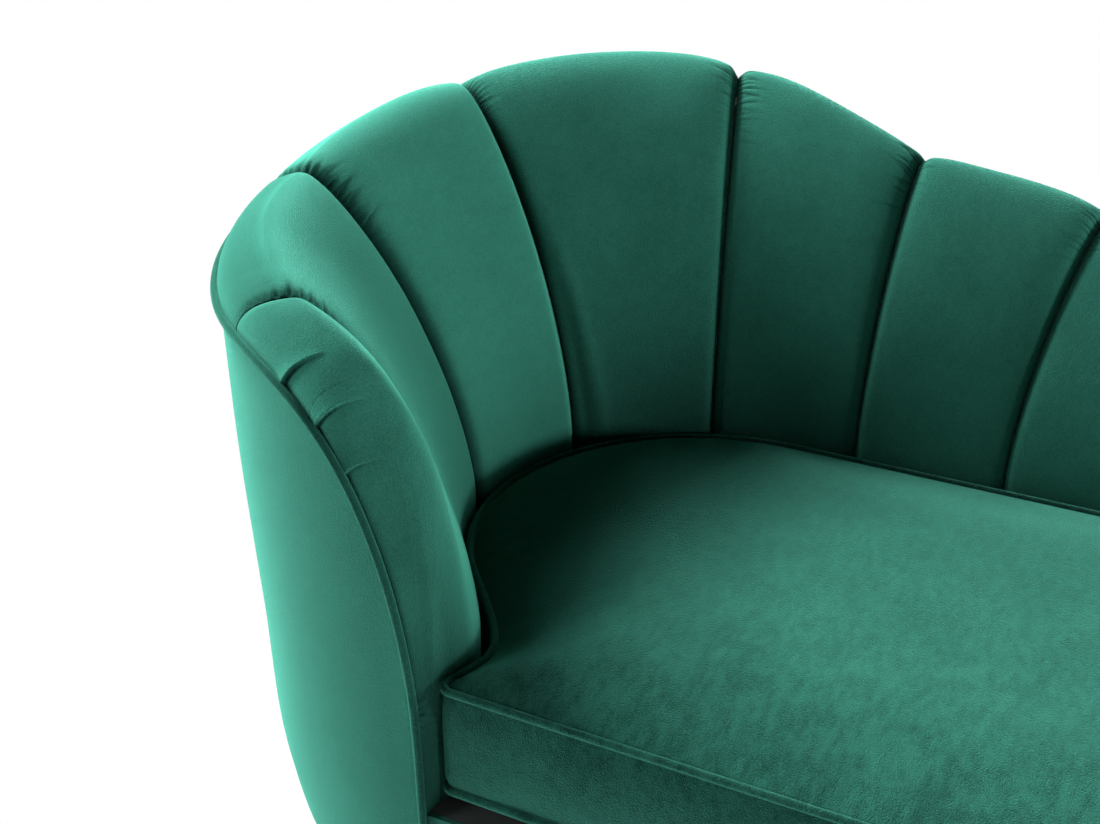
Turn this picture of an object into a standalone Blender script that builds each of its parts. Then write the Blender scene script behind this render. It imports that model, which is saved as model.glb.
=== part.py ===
"""Chaise longue: a tub-shaped channelled back on a sprung base, with one loose seat cushion.

The drawing frame has its origin under the front corner of the cushion beside the arm: X runs along the
seat to the foot, Y from the front to the back, Z up. A root empty then puts the middle of the footprint
on the world origin. The back is drawn in vertical sections. Section number u starts at the front of the
arm (0) and ends where the back stops (9), and each whole number is a seam between two channels. In a
section, n is the distance out from the seat side of the back and z is the height.
"""

import math

import bmesh
import bpy
from mathutils import Vector

# Stack of heights, from the floor up.
GLIDE_H = 0.006
LEG_H = 0.144
PLATE_T = 0.004
DUST_T = 0.0012
RAIL_H = 0.163
WIRE_R = 0.002
DECK_T = 0.008
CUSHION_UNDER = 0.022
CUSHION_SIDE = 0.100
CUSHION_CROWN = 0.024
SEAT_LINE_UP = 0.010
GAP = 0.0003

# Outer edge in plan: a half ellipse at the head, then straight. Whole places lie at these distances along
# it, which the bend counts on a circle of this radius. The first seam lies before place 1, on the nose.
WALL_CX = 0.000
WALL_CY = 0.360
WALL_A = 0.372
WALL_B = 0.395
EDGE_SEAM_R = 0.385
EDGE_SEAMS = (-1.196, -0.930, -0.680, -0.411, -0.062, 0.165, 0.370, 0.545, 0.685, 0.800)
FIRST_SEAM = 0.80

# Seat side of the back in plan: a half circle at the head, then straight to the foot. The nose of the arm
# ends this far behind the frontmost line of the outer edge.
SEAT_CX = 0.100
SEAT_CY = 0.328
SEAT_R = 0.245
CHANNELS = 9
CHANNEL_W = 0.157
BEND_END = 4.624
NOSE_END_X = -0.010
NOSE_END_IN = 0.043
NOSE_LEAVE = 0.122
NOSE_ARRIVE = 0.053
NOSE_LEAN = 0.316

# Height of the crest above the seat line at each seam from the first to the last, and how far the rise
# to it is from a quarter ellipse (1).
CREST_RISES = (0.288, 0.306, 0.342, 0.346, 0.277, 0.240, 0.164, 0.105, 0.075)
ROLL_W = 0.048
ROLL_H = 0.034
FACE_POWER_OUT = 1.600
FACE_POWER_UP = 1.250
ARC_LEAST = 0.004
ARM_DROP = 0.025
ARM_POWER_ALONG = 3.5
ARM_POWER_UP = 1.4

# The outer cover leans in towards the floor and curls under at its lower edge: height, then distance in.
LEAN_HEIGHTS = (0.155, 0.175, 0.200, 0.250, 0.410, 0.600, 0.720)
LEAN_INS = (0.060, 0.050, 0.039, 0.027, 0.015, 0.004, 0.000)

# Padding and cloth. The face swells by these shares at turns from the seat line to the crest, and on the
# roll past it.
PUFF = 0.017
ARM_PUFF = 0.008
FACE_SWELL = ((0, 0.34), (18, 0.36), (36, 0.60), (54, 0.90), (72, 0.92), (90, 0.70))
ROLL_SWELL = ((60, 0.20), (30, 0.03), (0, 0))
PAD_T = 0.035
EDGE_PAD_T = 0.012
EDGE_TUCK = 0.003
COVER_T = 0.005
PIPE_R = 0.0038
SEAM_GAP = 0.0008
EDGE_GAP = 0.0012
WALL_GAP = 0.0010
PANEL_CLEAR = 0.0026

# Frame timber and board.
PANEL_T = 0.006
TOP_RAIL_H = 0.030
RIB_T = 0.018
RIB_CLEAR = 0.0025
RAIL_T = 0.030
CROSS_RAIL_H = 0.070
CROSS_RAIL_X = 0.560
BOARD_W = 0.100
BOARD_T = 0.020
BOARD_HEAD_X = -0.010
BOARD_FOOT_X = 0.930
BLOCK_SIDE = 0.060
RIB_SECTIONS = (1.5, 2.5, 3.5, 4.5, 5.5, 6.5, 7.5, 8.5)
ARM_POST_SECTION = 0.5

# Base past the back, springs and legs. The front lies behind the frontmost line of the outer edge.
FRONT_IN = 0.023
FOOT_X = 1.130
FOOT_CORNER_R = 0.060
BAND_START_X = 0.002
SPRINGS = 6
SPRING_FIRST_X = 0.160
SPRING_STEP = 0.160
SPRING_WAVES = 7
SPRING_SWING = 0.022
LEG_TOP_R = 0.022
LEG_FOOT_R = 0.013
PLATE_R = 0.034
GLIDE_R = 0.011
LEG_INSET = 0.050

# Cushion.
EAR_X = -0.006
EAR_R = 0.009
CUSHION_FRONT_INSET = 0.009
CUSHION_FOOT_INSET = 0.012
CUSHION_CLEAR = 0.005
CUSHION_FAR_INSET = 0.036
CUSHION_END_CLEAR = 0.010
CUSHION_LOW_IN = 0.030
CUSHION_LOW_EDGE = 0.012
CUSHION_LOW_TURN = 0.004
BOXING_END_IN = 0.004
BOXING_MIDDLE_IN = 0.002
CROWN_HEAD_IN = 0.120
CROWN_FOOT_IN = 0.140
CROWN_SIDE_IN = 0.160

# Swell at the seat line, and lines in plan that follow from the outer edge.
SEAT_PUFF_SHARE = FACE_SWELL[0][1]
EDGE_FRONT_Y = WALL_CY - WALL_B
NOSE_END_Y = EDGE_FRONT_Y + NOSE_END_IN
FRONT_Y = EDGE_FRONT_Y + FRONT_IN
CUSHION_FRONT_Y = FRONT_Y + CUSHION_FRONT_INSET

# Heights that follow from the stack.
LEG_Z = GLIDE_H + GAP
PLATE_Z = LEG_Z + LEG_H + GAP
DUST_Z = PLATE_Z + PLATE_T + GAP
RAIL_Z = DUST_Z + DUST_T + GAP
RAIL_TOP = RAIL_Z + RAIL_H
SPRING_Z = RAIL_TOP + GAP + WIRE_R
DECK_Z = SPRING_Z + WIRE_R + GAP
DECK_TOP = DECK_Z + DECK_T
CUSHION_Z = DECK_TOP + GAP
PIPE_LOW_Z = CUSHION_Z + CUSHION_UNDER
PIPE_TOP_Z = PIPE_LOW_Z + CUSHION_SIDE
SEAT_LINE = PIPE_TOP_Z + SEAT_LINE_UP
ARM_FOOT_Z = SEAT_LINE - ARM_DROP

# Sections that every layer of the back shares, so that the layers stay parallel: closer at the seams.
SEAM_MARGIN = SEAM_GAP / 2 / CHANNEL_W
SHARES = (0.07, 0.25, 0.5, 0.75, 0.93)
ARM_SHARES = (SEAM_MARGIN, 0.025, 0.07, 0.15, 0.25, 0.5, 0.75, 0.93)
STATIONS = list(ARM_SHARES)
for seam in range(1, CHANNELS):
    STATIONS += [seam] + [seam + share for share in SHARES]
STATIONS.append(CHANNELS)

VELVET = (0.020, 0.150, 0.110)
DARK_CLOTH = (0.010, 0.012, 0.012)
TIMBER = (0.420, 0.270, 0.140)
STEEL = (0.560, 0.570, 0.580)
DARK_WOOD = (0.060, 0.030, 0.016)
PLASTIC = (0.020, 0.020, 0.020)


def between(row, place):
    """Smooth value at a fractional place along a row of evenly spaced values."""
    first = min(max(int(place), 0), len(row) - 2)
    share = place - first
    before, start, stop, after = (
        row[min(max(first + step, 0), len(row) - 1)] for step in (-1, 0, 1, 2)
    )
    curve = 2 * before - 5 * start + 4 * stop - after
    bend = 3 * start - before - 3 * stop + after
    return start + 0.5 * share * (stop - before + share * (curve + share * bend))


def lean(z):
    """How far in the outer cover lies at a height."""
    if z <= LEAN_HEIGHTS[0]:
        return LEAN_INS[0]
    for low, high, low_in, high_in in zip(LEAN_HEIGHTS, LEAN_HEIGHTS[1:], LEAN_INS, LEAN_INS[1:]):
        if z <= high:
            return low_in + (high_in - low_in) * (z - low) / (high - low)
    return LEAN_INS[-1]


def path_place(u):
    """Place of a section along both paths: the first seam is past the start of the nose."""
    if u < 1:
        return u * FIRST_SEAM
    if u < 2:
        return FIRST_SEAM + (u - 1) * (2 - FIRST_SEAM)
    return u


def seat_bend(place):
    """Seat side of the back at a place of 1 or more."""
    travel = (place - BEND_END) * CHANNEL_W
    turn = math.pi / 2 - min(travel, 0) / SEAT_R
    return Vector((
        SEAT_CX + SEAT_R * math.cos(turn) + max(travel, 0),
        SEAT_CY + SEAT_R * math.sin(turn),
    ))


def seat_side(u):
    """Seat side of the back in plan, with the nose of the arm from place 1 down to 0."""
    place = path_place(u)
    if place >= 1:
        return seat_bend(place)
    start = seat_bend(1)
    turn = math.pi / 2 - (1 - BEND_END) * CHANNEL_W / SEAT_R
    leave = start + NOSE_LEAVE * Vector((-math.sin(turn), math.cos(turn)))
    end = Vector((NOSE_END_X, NOSE_END_Y))
    arrive = end + NOSE_ARRIVE * Vector((NOSE_LEAN, 1)).normalized()
    t = 1 - place
    s = 1 - t
    return s**3 * start + 3 * s * s * t * leave + 3 * s * t * t * arrive + t**3 * end


def edge_side(u):
    """Outer edge of the back in plan, before the cover leans in."""
    travel = between(EDGE_SEAMS, path_place(u))
    turn = math.pi / 2 - min(travel, 0) / EDGE_SEAM_R
    return Vector((
        WALL_CX + WALL_A * math.cos(turn) + max(travel, 0),
        WALL_CY + WALL_B * math.sin(turn),
    ))


def edge_height(u):
    """Height of the piping on the outer edge. It runs down the arm from place 1 to 0."""
    place = path_place(u)
    if place >= 1:
        return SEAT_LINE + between(CREST_RISES, place - 1) - ROLL_H
    top = SEAT_LINE + CREST_RISES[0] - ROLL_H
    share = (1 - (1 - place) ** ARM_POWER_ALONG) ** (1 / ARM_POWER_UP)
    return ARM_FOOT_Z + (top - ARM_FOOT_Z) * share


class Section:
    """One vertical section through the back: plan line, heights and the padding's outlines."""

    def __init__(self, u):
        self.start = seat_side(u)
        line = edge_side(u) - self.start
        self.reach = line.length
        self.along = line.normalized()
        self.edge_z = edge_height(u)
        self.length = self.reach - lean(self.edge_z)
        self.roll_w = min(ROLL_W, 0.45 * self.length)
        self.crest = self.edge_z + ROLL_H * self.roll_w / ROLL_W
        self.rise_z = min(SEAT_LINE, DECK_TOP + 0.6 * (self.crest - DECK_TOP))
        self.pad = min(PAD_T, 0.4 * self.outside(DECK_TOP))
        step = 0.005
        run = edge_side(u + step) - edge_side(u - step)
        self.out = Vector((-run.y, run.x, 0)).normalized()

    def at(self, n, z):
        plan = self.start + self.along * n
        return Vector((plan.x, plan.y, z))

    def outside(self, z):
        """Distance out to the face of the outer cover at a height."""
        return self.reach - lean(z)

    def cover_heights(self):
        """Heights of the outer cover's points from its lower edge to the piping, closer at the curl."""
        top = self.edge_z - EDGE_GAP
        return [DUST_Z + share * (top - DUST_Z) for share in (0, 0.04, 0.1, 0.2, 0.45, 0.75, 1)]

    def cover_normal(self, z):
        """Direction straight out of the outer cover at a height, with its lean."""
        step = 0.004
        slope = (lean(z - step) - lean(z + step)) / (2 * step)
        return Vector((self.out.x, self.out.y, -slope)).normalized()

    def arc(self, inset, degrees):
        """Point on the curve from the seat line to the crest, moved in by inset."""
        turn = math.radians(degrees)
        top_n = max(self.length - self.roll_w, inset + ARC_LEAST)
        out = 1 - max(math.cos(turn), 0) ** FACE_POWER_OUT
        up = math.sin(turn) ** FACE_POWER_UP
        return inset + (top_n - inset) * out, self.rise_z + (self.crest - inset - self.rise_z) * up

    def face(self, puff):
        """Seat face of the padding from the deck, up over the crest, to the piping."""
        points = [(-0.5 * SEAT_PUFF_SHARE * puff, DECK_TOP + GAP)]
        for degrees, share in FACE_SWELL:
            turn = math.radians(degrees)
            n, z = self.arc(0, degrees)
            points.append((n - share * puff * math.cos(turn), z + share * puff * math.sin(turn)))
        for degrees, share in ROLL_SWELL:
            turn = math.radians(degrees)
            n = self.length - self.roll_w * (1 - math.cos(turn))
            z = self.edge_z + EDGE_GAP + (self.crest - self.edge_z) * math.sin(turn)
            push = share * puff
            points.append((n + push * math.cos(turn), z + push * math.sin(turn)))
        n, z = points[-1]
        points[-1] = (n - EDGE_TUCK, z)
        return points

    def backing(self, inset, foot_z):
        """Seat side of what lies under the padding, from its foot up to the crest."""
        points = [(inset, foot_z)]
        return points + [self.arc(inset, degrees) for degrees in (0, 30, 60, 90)]

    def rail_top(self):
        """Height of the top rail's upper face, just under the padding of the roll."""
        return min(self.edge_z, self.crest - self.pad) - WALL_GAP

    def rib_line(self):
        """Outline of a rib between the bent panel, the top rail, the outer cover and the base rail."""
        foot = RAIL_TOP + GAP
        head = self.rail_top() - TOP_RAIL_H - WALL_GAP
        panel = self.backing(self.pad + PANEL_CLEAR + PANEL_T, foot)
        heights = [foot + share * (head - foot) for share in (0, 0.25, 0.5, 0.75, 1)]
        inner = [(level(panel, z) + RIB_CLEAR, z) for z in heights]
        return inner + [(self.outside(z) - COVER_T - RIB_CLEAR, z) for z in reversed(heights)]


def level(line, z):
    """Distance out at a height along a line of points that rises."""
    for (low_n, low_z), (high_n, high_z) in zip(line, line[1:]):
        if z <= high_z:
            return low_n + (high_n - low_n) * max(z - low_z, 0) / max(high_z - low_z, GAP)
    return line[-1][0]


def finish(name, mesh, material, parent, smooth=35):
    """Object from a mesh, with its material, shading and parent."""
    mesh.materials.append(material)
    mesh.shade_smooth()
    mesh.set_sharp_from_angle(angle=math.radians(smooth))
    piece = bpy.data.objects.new(name, mesh)
    bpy.context.scene.collection.objects.link(piece)
    piece.parent = parent
    return piece


def skin(name, rings, material, parent):
    """Closed body through rings of points, with a flat cap on the first and the last."""
    mesh = bpy.data.meshes.new(name)
    bm = bmesh.new()
    loops = [[bm.verts.new(point) for point in ring] for ring in rings]
    for low, high in zip(loops, loops[1:]):
        for k in range(len(low)):
            bm.faces.new((low[k - 1], low[k], high[k], high[k - 1]))
    bm.faces.new(loops[0])
    bm.faces.new(loops[-1])
    bmesh.ops.recalc_face_normals(bm, faces=bm.faces)
    bm.to_mesh(mesh)
    bm.free()
    return finish(name, mesh, material, parent)


def slab(name, outline, low, high, material, parent):
    """Flat plate with this outline between two heights."""
    rings = [[Vector((x, y, z)) for x, y in outline] for z in (low, high)]
    return skin(name, rings, material, parent)


def block(name, x_span, y_span, z_span, material, parent):
    """Box between these limits."""
    (x0, x1), (y0, y1) = x_span, y_span
    return slab(name, [(x0, y0), (x1, y0), (x1, y1), (x0, y1)], *z_span, material, parent)


def turned(name, place, steps, material, parent, sides=16):
    """Turned piece from steps of radius and height."""
    turns = [2 * math.pi * k / sides for k in range(sides)]
    rings = [
        [Vector((place[0] + r * math.cos(t), place[1] + r * math.sin(t), z)) for t in turns]
        for r, z in steps
    ]
    return skin(name, rings, material, parent)


def tube(name, route, radius, material, parent, closed=False, sides_step=1):
    """Round tube along a route."""
    curve = bpy.data.curves.new(name, "CURVE")
    curve.dimensions = "3D"
    curve.bevel_depth = radius
    curve.bevel_resolution = sides_step
    curve.use_fill_caps = True
    spline = curve.splines.new("POLY")
    spline.points.add(len(route) - 1)
    for point, place in zip(spline.points, route):
        point.co = (*place, 1)
    spline.use_cyclic_u = closed
    curve.materials.append(material)
    piece = bpy.data.objects.new(name, curve)
    bpy.context.scene.collection.objects.link(piece)
    piece.parent = parent
    return piece


def paint(name, colour, roughness, metallic=0.0):
    """Plain material of one colour."""
    material = bpy.data.materials.new(name)
    material.use_nodes = True
    shader = material.node_tree.nodes["Principled BSDF"]
    shader.inputs["Base Color"].default_value = (*colour, 1)
    shader.inputs["Roughness"].default_value = roughness
    shader.inputs["Metallic"].default_value = metallic
    material.diffuse_color = (*colour, 1)
    return material


def puff_at(channel, share):
    """Swell of a channel across its width: none at its seams, full in the middle."""
    most = ARM_PUFF if channel == 0 else PUFF
    return most * math.sqrt(max(1 - abs(2 * share - 1) ** 3, 0))


def offset(outline, distance):
    """Outline moved in by a distance, corner by corner. It runs anticlockwise seen from above."""
    moved = []
    for k, (x, y) in enumerate(outline):
        here = Vector((x, y))
        into = (here - Vector(outline[k - 1])).normalized()
        out = (Vector(outline[(k + 1) % len(outline)]) - here).normalized()
        normal = Vector((-into.y - out.y, into.x + out.x)).normalized()
        spread = max(normal.dot(Vector((-into.y, into.x))), 0.5)
        moved.append(tuple(here + normal * (distance / spread)))
    return moved


def wall_lines(first, last):
    """Sections at the shared stations from the first to the last."""
    return [Section(u) for u in STATIONS if first <= u <= last]


def band_path():
    """Outer line of the base in plan: along the front, round the foot and back along the far side."""
    far_y = WALL_CY + WALL_B - lean(DECK_TOP)
    end = Section(CHANNELS)
    last_x = end.at(end.outside(DECK_TOP), 0).x + COVER_T + WALL_GAP
    path = [(Vector((BAND_START_X, FRONT_Y)), Vector((0, -1)))]
    r = FOOT_CORNER_R
    for corner_y, quarter in ((FRONT_Y + r, -90), (far_y - r, 0)):
        for step in range(7):
            turn = math.radians(quarter + 15 * step)
            out = Vector((math.cos(turn), math.sin(turn)))
            path.append((Vector((FOOT_X - r, corner_y)) + r * out, out))
    path.append((Vector((last_x, far_y)), Vector((0, 1))))
    return path


def make_channels(material, parent):
    """The padded channels, each between two seams."""
    for channel in range(CHANNELS):
        shares = ARM_SHARES if channel == 0 else (SEAM_MARGIN, *SHARES)
        rings = []
        for share in (*shares, 1 - SEAM_MARGIN):
            section = Section(channel + share)
            line = section.face(puff_at(channel, share))
            tuck = min(EDGE_PAD_T, 0.3 * section.length)
            line.append((section.length - tuck, section.edge_z + EDGE_GAP))
            line += reversed(section.backing(section.pad, DECK_TOP + GAP))
            rings.append([section.at(n, z) for n, z in line])
        skin(f"back_channel_{channel + 1}", rings, material, parent)


def make_back_frame(timber, board, parent):
    """Bent panel, top rail, ribs and arm post inside the back."""
    rings = []
    for section in wall_lines(0.25, CHANNELS - 0.07):
        near = section.pad + PANEL_CLEAR
        line = section.backing(near, DECK_Z)
        line += reversed(section.backing(near + PANEL_T, DECK_Z))
        rings.append([section.at(n, z) for n, z in line])
    skin("back_panel", rings, board, parent)
    rings = []
    for section in wall_lines(0.75, CHANNELS - 0.07):
        top = section.rail_top()
        low = top - TOP_RAIL_H
        inner = section.length - section.roll_w + WALL_GAP
        outer = section.outside(low) - COVER_T - WALL_GAP
        rings.append([section.at(*p) for p in ((inner, low), (outer, low), (outer, top), (inner, top))])
    skin("top_rail", rings, timber, parent)
    names = ["arm_post"] + [f"back_rib_{k + 1}" for k in range(len(RIB_SECTIONS))]
    for name, u in zip(names, (ARM_POST_SECTION, *RIB_SECTIONS)):
        make_rib(name, u, board, parent)


def make_rib(name, u, material, parent):
    """Flat board of even thickness across the back at a section."""
    middle = Section(u)
    step = 0.01
    inner_speed = (seat_side(u + step) - seat_side(u - step)).length / (2 * step)
    outer_speed = (edge_side(u + step) - edge_side(u - step)).length / (2 * step)
    faces = []
    for way in (-1, 1):
        face = []
        for k, (n, z) in enumerate(middle.rib_line()):
            share = n / middle.reach
            speed = inner_speed * (1 - share) + outer_speed * share
            section = Section(u + way * RIB_T / 2 / speed)
            face.append(section.at(*section.rib_line()[k]))
        faces.append(face)
    skin(name, faces, material, parent)


def make_covers(material, parent):
    """Outer cover of the back, cover of the base past it, and the panel on the end of the back."""
    rings = []
    for section in wall_lines(0, CHANNELS):
        line = [(section.outside(z), z) for z in section.cover_heights()]
        line += [(n - COVER_T, z) for n, z in reversed(line)]
        rings.append([section.at(n, z) for n, z in line])
    skin("outer_cover", rings, material, parent)
    rings = []
    for place, out in band_path():
        heights = [DUST_Z + share * (DECK_TOP - DUST_Z) for share in (0, 0.11, 0.25, 0.53, 1)]
        line = [(lean(z) - lean(DECK_TOP), z) for z in heights]
        line += [(inset + COVER_T, z) for inset, z in reversed(line)]
        rings.append([Vector((*(place - out * inset), z)) for inset, z in line])
    skin("base_cover", rings, material, parent)
    end = Section(CHANNELS)
    line = end.face(0)
    heights = [DECK_TOP + GAP + share * (end.edge_z - DECK_TOP - GAP) for share in (0.7, 0.35, 0)]
    line += [(end.outside(z), z) for z in heights]
    side = Vector((end.along.y, -end.along.x, 0))
    near = [end.at(n, z) + side * GAP for n, z in line]
    skin("back_end_panel", [near, [p + side * COVER_T for p in near]], material, parent)


def make_shell_piping(material, parent):
    """Piping along the outer edge of the back and down the front of the arm."""
    route = []
    proud = PIPE_R + EDGE_GAP
    for section in wall_lines(0, CHANNELS)[::-1]:
        z = section.edge_z
        route.append(section.at(section.length, z) + section.cover_normal(z) * proud)
    front = Section(SEAM_MARGIN)
    for z in front.cover_heights()[-2:1:-1]:
        route.append(front.at(front.outside(z), z) + front.cover_normal(z) * (proud + WALL_GAP))
    tube("shell_piping", route, PIPE_R, material, parent)


def rail_lines():
    """Inner and outer faces of the straight base rails: front, back and foot."""
    inset = LEAN_INS[0] - lean(DECK_TOP) + COVER_T + GAP
    front = FRONT_Y + inset
    back = WALL_CY + WALL_B - LEAN_INS[0] - COVER_T - GAP
    foot = FOOT_X - inset
    return (front, front + RAIL_T), (back - RAIL_T, back), (foot - RAIL_T, foot)


def make_base(timber, board, cloth, steel, parent):
    """Rails, blocks, leg boards, springs, deck and dust cover."""
    front, back, foot = rail_lines()
    height = (RAIL_Z, RAIL_TOP)
    rings = []
    for section in wall_lines(0.5, 4.5):
        outer = section.reach - LEAN_INS[0] - COVER_T - WALL_GAP
        inner = outer - RAIL_T
        line = ((inner, RAIL_Z), (outer, RAIL_Z), (outer, RAIL_TOP), (inner, RAIL_TOP))
        rings.append([section.at(n, z) for n, z in line])
    skin("head_rail", rings, timber, parent)
    front_x = max(p.x for p in rings[0]) + GAP
    back_x = max(p.x for p in rings[-1]) + GAP
    straight = min(foot[1], FOOT_X - FOOT_CORNER_R)
    block("front_rail", (front_x, straight), front, height, timber, parent)
    block("back_rail", (back_x, straight), back, height, timber, parent)
    span = (front[1] + GAP, back[0] - GAP)
    block("foot_rail", foot, span, height, timber, parent)
    cross_x = (CROSS_RAIL_X - RAIL_T / 2, CROSS_RAIL_X + RAIL_T / 2)
    block("cross_rail", cross_x, span, (RAIL_TOP - CROSS_RAIL_H, RAIL_TOP), timber, parent)
    corner_x = foot[0] - GAP
    for name, y, way in (("front", span[0], 1), ("back", span[1], -1)):
        outline = [(corner_x, y), (corner_x, y + way * BLOCK_SIDE), (corner_x - BLOCK_SIDE, y)]
        slab(f"corner_block_{name}", outline, RAIL_Z + BOARD_T, RAIL_TOP, timber, parent)
    beside = [p.y for ring in rings for p in ring if abs(p.x - BOARD_HEAD_X) < BOARD_W]
    near = max([span[0]] + [y + GAP for y in beside if y < WALL_CY])
    far = min([span[1]] + [y - GAP for y in beside if y > WALL_CY])
    boards = (("head", BOARD_HEAD_X, (near, far)), ("foot", BOARD_FOOT_X, span))
    for name, x, y_span in boards:
        x_span = (x - BOARD_W / 2, x + BOARD_W / 2)
        block(f"leg_board_{name}", x_span, y_span, (RAIL_Z, RAIL_Z + BOARD_T), board, parent)
    for k in range(SPRINGS):
        x = SPRING_FIRST_X + k * SPRING_STEP
        first, last = sum(front) / 2, sum(back) / 2
        steps = 4 * SPRING_WAVES
        route = []
        for step in range(steps + 1):
            swing = SPRING_SWING * math.sin(math.pi / 2 * step)
            route.append(Vector((x + swing, first + (last - first) * step / steps, SPRING_Z)))
        tube(f"seat_spring_{k + 1}", route, WIRE_R, steel, parent, sides_step=0)
    inner = band_inner(COVER_T + WALL_GAP)
    deck = [(p.x, p.y) for p in (s.at(0.5 * s.pad, 0) for s in wall_lines(0, CHANNELS))]
    slab("seat_deck", inner + deck[::-1], DECK_Z, DECK_TOP, cloth, parent)
    low = band_inner(LEAN_INS[0] - lean(DECK_TOP) + COVER_T + WALL_GAP)
    inset = LEAN_INS[0] + COVER_T + WALL_GAP
    dust = [(p.x, p.y) for p in (s.at(s.reach - inset, 0) for s in wall_lines(0.5, CHANNELS))]
    slab("dust_cover", low + dust[::-1], DUST_Z, DUST_Z + DUST_T, cloth, parent)
    return boards


def band_inner(distance):
    """Line this far inside the base's outer line, without its first point beside the arm."""
    points = [place - out * distance for place, out in band_path()]
    points[0] = points[0] + Vector((WALL_GAP, 0))
    return [(p.x, p.y) for p in points]


def make_legs(boards, wood, steel, plastic, parent):
    """Four turned legs under the leg boards, each with a plate above it and a glide below it."""
    places = []
    for name, x, (near, far) in boards:
        places.append((f"front_{name}", (x, near + LEG_INSET)))
        places.append((f"back_{name}", (x, far - LEG_INSET)))
    for name, place in places:
        turned(f"leg_glide_{name}", place, ((GLIDE_R, 0), (GLIDE_R, GLIDE_H)), plastic, parent)
        steps = ((LEG_FOOT_R, LEG_Z), (LEG_TOP_R, LEG_Z + LEG_H))
        turned(f"leg_{name}", place, steps, wood, parent)
        steps = ((PLATE_R, PLATE_Z), (PLATE_R, PLATE_Z + PLATE_T))
        turned(f"leg_plate_{name}", place, steps, steel, parent)


def cushion_outline():
    """Outermost line of the cushion in plan, anticlockwise from the corner beside the arm."""
    foot = FOOT_X - CUSHION_FOOT_INSET
    r = FOOT_CORNER_R
    end = Section(CHANNELS)
    far = end.at(end.reach - CUSHION_FAR_INSET, 0).y
    line = []
    for turn in (180, 225, 270):
        t = math.radians(turn)
        line.append((EAR_X + EAR_R * (1 + math.cos(t)), CUSHION_FRONT_Y + EAR_R * (1 + math.sin(t))))
    for corner_y, quarter in ((CUSHION_FRONT_Y + r, -90), (far - r, 0)):
        for step in range(5):
            t = math.radians(quarter + 22.5 * step)
            line.append((foot - r + r * math.cos(t), corner_y + r * math.sin(t)))
    clear = SEAT_PUFF_SHARE * PUFF + CUSHION_CLEAR
    side = Vector((end.along.y, -end.along.x, 0)) * (COVER_T + CUSHION_END_CLEAR)
    for n in (end.reach - CUSHION_FAR_INSET, -clear):
        p = end.at(n, 0) + side
        line.append((p.x, p.y))
    for step in range(4 * CHANNELS - 1):
        section = Section(CHANNELS - 0.25 - step / 4)
        p = section.at(-clear, 0)
        line.append((p.x, p.y))
    return line


def make_cushion(material, parent):
    """Boxed cushion with a crown, drawn-in piping lines, and its two runs of piping."""
    outline = cushion_outline()
    middle = PIPE_R + GAP
    groove = 2 * middle
    boxing = (
        (CUSHION_LOW_IN, CUSHION_Z),
        (groove + CUSHION_LOW_TURN, PIPE_LOW_Z - CUSHION_LOW_EDGE),
        (groove, PIPE_LOW_Z),
        (BOXING_END_IN, PIPE_LOW_Z + 0.2 * CUSHION_SIDE),
        (BOXING_MIDDLE_IN, PIPE_LOW_Z + 0.5 * CUSHION_SIDE),
        (BOXING_END_IN, PIPE_LOW_Z + 0.8 * CUSHION_SIDE),
        (groove, PIPE_TOP_Z),
    )
    rings = [[Vector((x, y, z)) for x, y in offset(outline, inset)] for inset, z in boxing]
    edge = offset(outline, groove)
    core_x = (EAR_X + CROWN_HEAD_IN, FOOT_X - CROWN_FOOT_IN)
    core_y = (CUSHION_FRONT_Y + CROWN_SIDE_IN, SEAT_CY + SEAT_R - CROWN_SIDE_IN)
    for share, rise in ((0.10, 0.45), (0.35, 0.80), (0.75, 1.0)):
        ring = []
        for x, y in edge:
            core = Vector((min(max(x, core_x[0]), core_x[1]), min(max(y, core_y[0]), core_y[1])))
            p = Vector((x, y)).lerp(core, share)
            ring.append(Vector((p.x, p.y, PIPE_TOP_Z + rise * CUSHION_CROWN)))
        rings.append(ring)
    skin("seat_cushion", rings, material, parent)
    line = offset(outline, middle)
    for name, z in (("low", PIPE_LOW_Z), ("top", PIPE_TOP_Z)):
        tube(f"cushion_piping_{name}", [(x, y, z) for x, y in line], PIPE_R, material, parent, closed=True)


def centre_on_floor(root):
    """Moves the whole object so that the middle of its footprint is the world origin."""
    bpy.context.view_layer.update()
    graph = bpy.context.evaluated_depsgraph_get()
    points = []
    for piece in bpy.data.objects:
        if piece.type != "EMPTY":
            solid = piece.evaluated_get(graph)
            points += [solid.matrix_world @ vertex.co for vertex in solid.to_mesh().vertices]
            solid.to_mesh_clear()
    for axis in (0, 1):
        values = [point[axis] for point in points]
        root.location[axis] -= (min(values) + max(values)) / 2


def main():
    for old in list(bpy.data.objects):
        bpy.data.objects.remove(old)
    root = bpy.data.objects.new("chaise_longue", None)
    lift = bpy.data.objects.new("cushion_lift", None)
    for empty in (root, lift):
        bpy.context.scene.collection.objects.link(empty)
    lift.parent = root
    velvet = paint("velvet", VELVET, 0.85)
    cloth = paint("deck_cloth", DARK_CLOTH, 0.95)
    timber = paint("frame_timber", TIMBER, 0.6)
    board = paint("frame_board", TIMBER, 0.7)
    steel = paint("spring_steel", STEEL, 0.35, 1.0)
    wood = paint("leg_wood", DARK_WOOD, 0.45)
    plastic = paint("glide_plastic", PLASTIC, 0.5)
    make_channels(velvet, root)
    make_back_frame(timber, board, root)
    make_covers(velvet, root)
    make_shell_piping(velvet, root)
    boards = make_base(timber, board, cloth, steel, root)
    make_legs(boards, wood, steel, plastic, root)
    make_cushion(velvet, lift)
    centre_on_floor(root)


main()
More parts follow.
